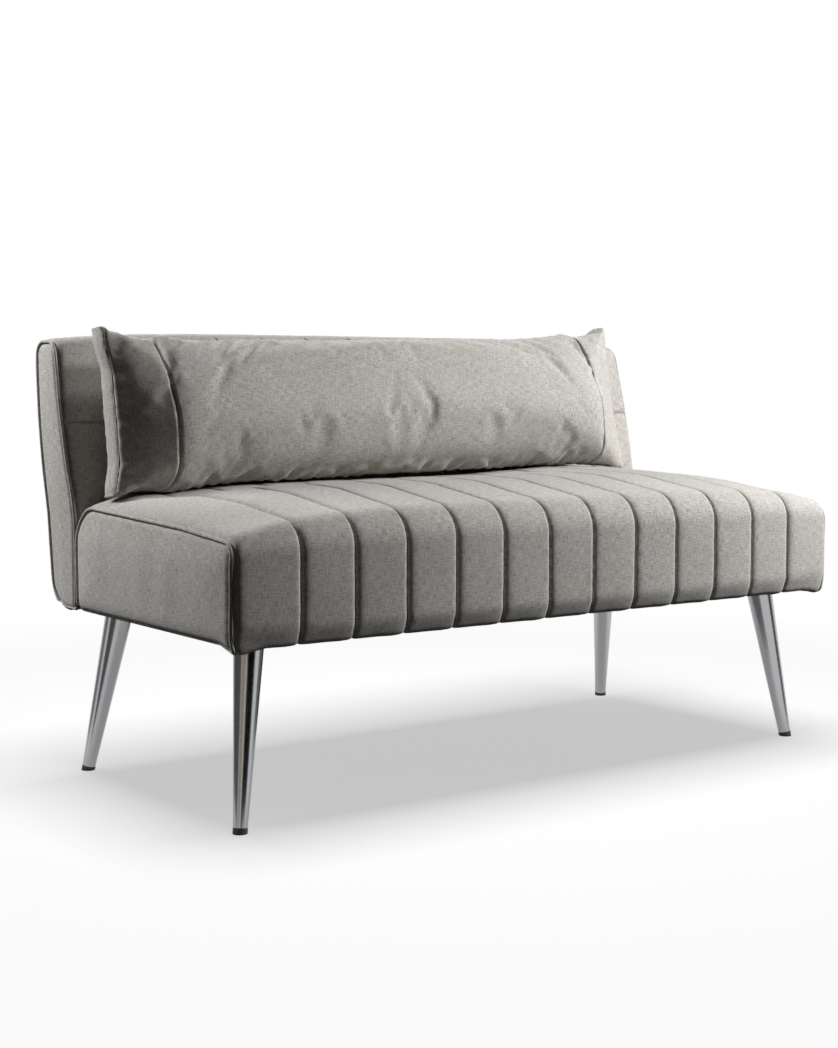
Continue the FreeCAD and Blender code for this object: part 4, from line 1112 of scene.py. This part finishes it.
class LOVESEAT_OT_bolster(bpy.types.Operator):
    """Loose lumbar bolster: front and rear panel, each sewn from three pieces, and a gusset at each end"""
    bl_idname = "loveseat.bolster"
    bl_label = "Bolster"

    def execute(self, context):
        sizes = context.scene.loveseat_bolster
        ring_count, ring_points, girth = 110, 72, 720.0
        steps = [2 * k / ring_count - 1 for k in range(ring_count + 1)]
        shares = [0.35 * math.sin(math.pi / 2 * step) + 0.65 * step for step in steps]
        rings = [bolster_ring(share, ring_points, 3.0 * (1 - abs(share) ** 30)) for share in shares]
        rings = filled_lattice(rings, sizes)
        lean = Matrix.Rotation(math.radians(-BOLSTER_LEAN), 3, "X")
        turn = Matrix.Rotation(math.radians(-BOLSTER_TILT), 3, "Y") @ lean
        stations = graded((-BOLSTER_HALF, -BOLSTER_SEAM, BOLSTER_SEAM, BOLSTER_HALF), 7.5)
        turns = [place / girth for place in graded((0.0, girth / 2, girth), 5.6)]
        centre = self.centre(turn, ring_points)
        grid = self.final_grid(rings, stations, turns, sizes.gathers / MM, turn, centre)
        count = len(turns) - 1

        def place(i, j):
            return grid[i][j % count], (stations[i] * MM, turns[j] * 0.76)

        bm = woven_grid(len(stations) - 1, count, place, closed=True)
        bmesh.ops.reverse_faces(bm, faces=bm.faces)
        made = finished("bolster_panels", bm, cover_linen())
        ride(made, "bolster", "cover_fabric", "bolster_cover", "bolster_fill", "bolster_seam_cords")
        for word, ring, way in (("left", grid[0], -1), ("right", grid[-1], 1)):
            self.gusset(word, ring[:-1], turn @ Vector((way, 0, 0)))
        return {"FINISHED"}

    def centre(self, turn, ring_points):
        """Where the bolster's centre goes so that it fills the place of its CAD cover."""
        points = [turn @ point for k in range(21) for point in bolster_ring(k / 10 - 1, ring_points)]
        middle = [(min(axis) + max(axis)) / 2 for axis in zip(*points)]
        return (BOLSTER_LOW + BOLSTER_HIGH) / 2 - Vector(middle)

    def final_grid(self, rings, stations, turns, gathers, turn, centre):
        """The cover's points at every station and turn: from the filled rings, with the seams, gathers and
        folds added, and where the bolster comes to rest."""
        xs = [ring[0].x for ring in rings]
        rows = []
        for x in stations:
            k = min(max(bisect_right(xs, x) - 1, 0), len(xs) - 2)
            ring = ring_between(rings, k, (x - xs[k]) / (xs[k + 1] - xs[k]))
            rows.append([point_on(ring, t) for t in turns[:-1]])
        grid = []
        for i, row in enumerate(rows):
            ahead, behind = rows[min(i + 1, len(rows) - 1)], rows[max(i - 1, 0)]
            round_length = sum((a - b).length for a, b in zip(row, row[1:]))
            line = []
            for j, point in enumerate(row):
                way = (row[(j + 1) % len(row)] - row[j - 1]).cross(ahead[j] - behind[j])
                way.normalize()
                lift = bolster_relief(stations[i], turns[j], round_length, gathers)
                if abs(stations[i]) == BOLSTER_HALF:
                    lift = min(lift, 0.0)
                line.append(rest(turn @ (point - way * lift) + centre))
            grid.append(line + [line[0]])
        return grid

    def gusset(self, word, ring, way):
        """The narrow strip that closes an end, with the batting pushing it out."""
        line = Line(ring + [ring[0]])
        count = len(ring)
        corners = [ring[round(count * t) % count] for t in (0.033, 0.467, 0.533, 0.967)]
        fill = patch(line, corners)
        gap_to_rim = rim_finder(line.points)

        def place(across, up):
            point = fill(across, up)
            gap = gap_to_rim(point) / MM
            height = point.z / MM
            lift = 4.4 * (1 - math.exp(-gap / 3.5)) + 0.9 * rumple(gap, height, 30.0, 31) * smooth(gap / 6)
            return point + way * lift * MM, (across * 0.05, point.z)

        bm = crowded_grid(14, 80, place, turned=way.x > 0)
        made = finished("bolster_gusset_" + word, bm, cover_linen())
        ride(made, "bolster", "cover_fabric", "bolster_end_panel_" + word, "bolster_welt_" + word)


def rest(point):
    """A point of the bolster in metres, once it lies on the seat. The corners of its left end stand out as
    ears and that end is drawn in between them, the top of its right end slides to the left, and its bottom
    sinks into the seat, more at both ends. It stays clear of the seat under it and of the back behind it."""
    x, depth, height = point.x, point.y + DEPTH_SHIFT, point.z
    ears = BOLSTER_TOP_EAR * smooth((height - 730.0) / 60.0)
    ears += BOLSTER_LOW_EAR * smooth((585.0 - height) / 60.0)
    x -= (ears - BOLSTER_LEFT_DRAW) * smooth((-x - 480.0) / 120.0)
    x -= BOLSTER_RIGHT_SLIDE * smooth((x - 250.0) / 290.0) * smooth((height - 540.0) / 130.0)
    dent = dented(x, depth, SEAT_REAR_HEIGHT)
    sink_share = 0.4 + 0.6 * smooth((-x - 450.0) / 100.0) + 1.2 * smooth((x - 50.0) / 350.0)
    height -= (BOLSTER_SINK * sink_share + dent) * smooth((650.0 - height) / 120.0)
    height += 4.0 * smooth((height - 720.0) / 60.0) * smooth((450.0 - abs(x)) / 60.0)
    seat_clearance, back_clearance = 5.0, 7.5
    slope = (SEAT_REAR_HEIGHT - SEAT_CROWN_HEIGHT) / (SEAT_DEPTH - SEAT_CROWN_DEPTH)
    seat = SEAT_CROWN_HEIGHT + (depth - SEAT_CROWN_DEPTH) * slope - end_share(x) * SEAT_END_FALL - dent
    if depth < SEAT_DEPTH - 15.0:
        height = max(height, seat + seat_clearance)
    lean = (BACK_TOP_FRONT - BACK_BEND_DEPTH) / (BACK_HEIGHT - BACK_BEND_HEIGHT)
    back = BACK_BEND_DEPTH + max(0.0, height - BACK_BEND_HEIGHT) * lean
    return spot(x, min(depth, back - back_clearance), height)


class LOVESEAT_OT_hardware(bpy.types.Operator):
    """Materials of the legs, glides, timber, springs, webbing and fasteners, which keep their CAD shapes"""
    bl_idname = "loveseat.hardware"
    bl_label = "Legs and inner parts"

    def execute(self, context):
        colours = context.scene.loveseat_colours
        materials = {
            "chrome": chrome_plate(colours.chrome),
            "black_plastic": moulded_nylon(),
            "timber": planed_pine("planed_pine", (9.0, 120.0, 120.0), "#B08C5E", "#CBAA7C"),
            "board": matted("fibre_board", "#7E6546", "#967B59", 1.5, 0.8),
            "webbing": matted("elastic_webbing", "#252324", "#3A3736", 1.0),
            "spring_steel": grey_steel("drawn_steel", "#5A5B5C", "#7B7C7D", 0.38),
            "zinc_steel": grey_steel("zinc_plate", "#8E9091", "#B9BAB8", 0.42),
        }
        for row in frame["record"]["subparts"]:
            material = materials.get(row["material_slot"])
            if material:
                for slot in frame["nodes"][row["node"]].material_slots:
                    slot.material = material
        return {"FINISHED"}


# The camera as the photograph's straight edges give it: focal length and sensor width in millimetres, place,
# and how far it looks down and to the right, in degrees
CAMERA_LENS = 58.88
CAMERA_SENSOR = 36.0
CAMERA_PLACE = (-1986.1, -2260.8, 721.0)
CAMERA_DIP = 4.86
CAMERA_TURN = 36.219


class LOVESEAT_OT_stage(bpy.types.Operator):
    """Pale floor, soft studio lamps and the camera"""
    bl_idname = "loveseat.stage"
    bl_label = "Studio"

    def execute(self, context):
        scene = context.scene
        studio = scene.loveseat_studio
        scene.view_settings.view_transform = "Standard"
        make_world(studio.ambient)
        floor = make_floor()
        # Glowing cards that only gloss shows: painted reflections in the chrome legs
        make_painted_reflections()
        sofa_alone = lit_collection("sofa_alone", floor, "EXCLUDE")
        floor_alone = lit_collection("floor_alone", floor, "INCLUDE")
        middle = (0.1, -0.1, 0.5)
        lamp("key", (1.75, -1.2, 1.4), middle, studio.key, 0.25, sofa_alone)
        lamp("top", (1.1, -0.9, 2.3), middle, studio.top, 0.5, sofa_alone)
        lamp("rim", (-1.8, 1.7, 1.9), middle, studio.rim, 0.8, sofa_alone)
        lamp("floor_lamp", (0.0, 0.0, 5.0), (0.0, 0.0, 0.0), studio.floor, 3.0, floor_alone)
        camera = bpy.data.cameras.new("camera")
        camera.lens = CAMERA_LENS
        camera.sensor_width = CAMERA_SENSOR
        made = bpy.data.objects.new("camera", camera)
        made.location = spot(*CAMERA_PLACE)
        made.rotation_euler = (math.radians(90 - CAMERA_DIP), 0, math.radians(-CAMERA_TURN))
        scene.collection.objects.link(made)
        scene.camera = made
        return {"FINISHED"}


def lit_collection(name, floor, state):
    """What a lamp lights: the floor alone, or all but the floor."""
    made = bpy.data.collections.new(name)
    made.objects.link(floor)
    made.collection_objects[0].light_linking.link_state = state
    return made


def lamp(name, place, target, power, size, lit):
    data = bpy.data.lights.new(name, "AREA")
    data.energy = power
    data.size = size
    made = bpy.data.objects.new(name, data)
    made.location = place
    made.rotation_euler = (Vector(target) - Vector(place)).to_track_quat("-Z", "Y").to_euler()
    made.light_linking.receiver_collection = lit
    bpy.context.scene.collection.objects.link(made)


# Glowing cards that only glossy things mirror, which paint dark, grey and warm reflections into the chrome
# legs:
# (name, middle on the floor, way it faces in degrees, half width, height, grey)
PAINTED_REFLECTION_CARDS = (
    ("painted_reflection_front", (-0.64, -0.65), -96, 0.23, 0.60, "#0C0C0D"),
    ("painted_reflection_left", (-1.00, -0.06), 152, 0.33, 0.60, "#5E5F5F"),
    ("painted_reflection_warm", (-1.03, -0.50), 208, 0.14, 0.60, "#B5A793"),
    ("painted_reflection_rear", (-1.00, 0.62), 139, 0.22, 0.60, "#8A8B8C"),
    ("painted_reflection_middle", (0.12, -0.36), 180, 0.30, 0.28, "#77787A"),
    ("painted_reflection_under", (0.00, 0.10), 0, 0.25, 0.28, "#222222"),
    ("painted_reflection_right", (0.98, -0.62), -44, 0.16, 0.60, "#55565A"),
)


def stage_card(name, half, height, place, material):
    """A flat piece of the studio, of a half width and a half height, moved to its place."""
    bm = bmesh.new()
    bmesh.ops.create_grid(bm, x_segments=1, y_segments=1, size=1.0)
    bm.transform(place @ Matrix.Diagonal((half, height, 1.0, 1.0)))
    return finished(name, bm, material, smooth_faces=False)


def bare_material(name):
    """A material without a node, not even its shader."""
    material = bpy.data.materials.new(name)
    material.use_nodes = True
    material.node_tree.nodes.clear()
    return material, material.node_tree


def make_painted_reflections():
    """Upright glowing cards near the legs, which paint dark, grey and warm reflections into the chrome.
    Camera and light go through them, and only gloss shows them.
    """
    for name, (x, y), way, half, height, grey in PAINTED_REFLECTION_CARDS:
        upright = Matrix.Rotation(math.pi / 2, 4, "X")
        facing = Matrix.Rotation(math.radians(way - 90), 4, "Z")
        material, tree = bare_material(name)
        glow = add_node(tree, "ShaderNodeEmission", {"Color": linear(grey), "Strength": 1.0})
        add_node(tree, "ShaderNodeOutputMaterial", {"Surface": glow})
        place = Matrix.Translation((x, y, height / 2)) @ facing @ upright
        made = stage_card(name, half, height / 2, place, material)
        made.visible_camera = made.visible_diffuse = made.visible_shadow = made.visible_transmission = False


def seen_directly(tree):
    """1 for rays from the camera, or off gloss or through glass, and 0 for the light that falls on things."""
    seen = add_node(tree, "ShaderNodeLightPath", {}).outputs
    either = add_node(tree, "ShaderNodeMath", {0: seen["Is Camera Ray"], 1: seen["Is Glossy Ray"]},
                      operation="MAXIMUM")
    return add_node(tree, "ShaderNodeMath", {0: either, 1: seen["Is Transmission Ray"]}, operation="MAXIMUM")


def make_world(ambient):
    world = bpy.data.worlds.new("studio")
    bpy.context.scene.world = world
    world.use_nodes = True
    tree = world.node_tree
    levels = {"Value": seen_directly(tree), "To Min": ambient, "To Max": 1.0}
    strength = add_node(tree, "ShaderNodeMapRange", levels)
    fill_in(tree, tree.nodes["Background"], {"Strength": strength, "Color": (1, 1, 1, 1)})


def make_floor():
    """White paper floor: it takes the sofa's shadow near it and fades into the white background further out.
    It sends back less light than it shows, so that the sofa's underside stays dark."""
    material, tree = bare_material("paper_floor")
    white = (1, 1, 1, 1)
    paper = add_node(tree, "ShaderNodeBsdfDiffuse", {"Color": (0.8, 0.8, 0.8, 1)})
    dull = add_node(tree, "ShaderNodeBsdfDiffuse", {"Color": (0.09, 0.09, 0.09, 1)})
    glow = add_node(tree, "ShaderNodeEmission", {"Color": white, "Strength": 0.55})
    background = add_node(tree, "ShaderNodeEmission", {"Color": white, "Strength": 1.0})
    lit = add_node(tree, "ShaderNodeAddShader", {0: paper, 1: glow})
    place = add_node(tree, "ShaderNodeTexCoord", {}).outputs["Object"]
    distance = add_node(tree, "ShaderNodeVectorMath", {0: place}, operation="LENGTH").outputs["Value"]
    fading = {"Value": distance, "From Min": 1.1, "From Max": 2.3}
    far = add_node(tree, "ShaderNodeMapRange", fading, interpolation_type="SMOOTHSTEP")
    shown = add_node(tree, "ShaderNodeMixShader", {0: far, 1: lit, 2: background})
    surface = add_node(tree, "ShaderNodeMixShader", {0: seen_directly(tree), 1: dull, 2: shown})
    add_node(tree, "ShaderNodeOutputMaterial", {"Surface": surface})
    floor = stage_card("floor", 20.0, 20.0, Matrix.Identity(4), material)
    return floor


class LOVESEAT_PT_sidebar(bpy.types.Panel):
    """Sizes, colours and the builders of each piece"""
    bl_idname = "LOVESEAT_PT_sidebar"
    bl_label = "Loveseat"
    bl_space_type = "VIEW_3D"
    bl_region_type = "UI"
    bl_category = "Loveseat"

    def draw(self, context):
        for name in GROUPS:
            group = getattr(context.scene, name)
            for value in group.__annotations__:
                self.layout.prop(group, value)
        for kind in OPERATORS:
            self.layout.operator(kind.bl_idname)


GROUPS = {
    "loveseat_channels": LOVESEAT_PG_channels,
    "loveseat_bolster": LOVESEAT_PG_bolster,
    "loveseat_colours": LOVESEAT_PG_colours,
    "loveseat_studio": LOVESEAT_PG_studio,
}
OPERATORS = (LOVESEAT_OT_seat, LOVESEAT_OT_back, LOVESEAT_OT_sides, LOVESEAT_OT_piping, LOVESEAT_OT_cloths,
             LOVESEAT_OT_bolster, LOVESEAT_OT_hardware, LOVESEAT_OT_stage)


def register():
    for kind in (*GROUPS.values(), *OPERATORS, LOVESEAT_PT_sidebar):
        bpy.utils.register_class(kind)
    for name, kind in GROUPS.items():
        setattr(bpy.types.Scene, name, PointerProperty(type=kind))


def unregister():
    for name in GROUPS:
        delattr(bpy.types.Scene, name)
    for kind in reversed((*GROUPS.values(), *OPERATORS, LOVESEAT_PT_sidebar)):
        bpy.utils.unregister_class(kind)


def main():
    register()
    bpy.ops.loveseat.seat()
    bpy.ops.loveseat.back()
    bpy.ops.loveseat.sides()
    bpy.ops.loveseat.piping()
    bpy.ops.loveseat.cloths()
    bpy.ops.loveseat.bolster()
    bpy.ops.loveseat.hardware()
    bpy.ops.loveseat.stage()


if __name__ == "__main__":
    main()
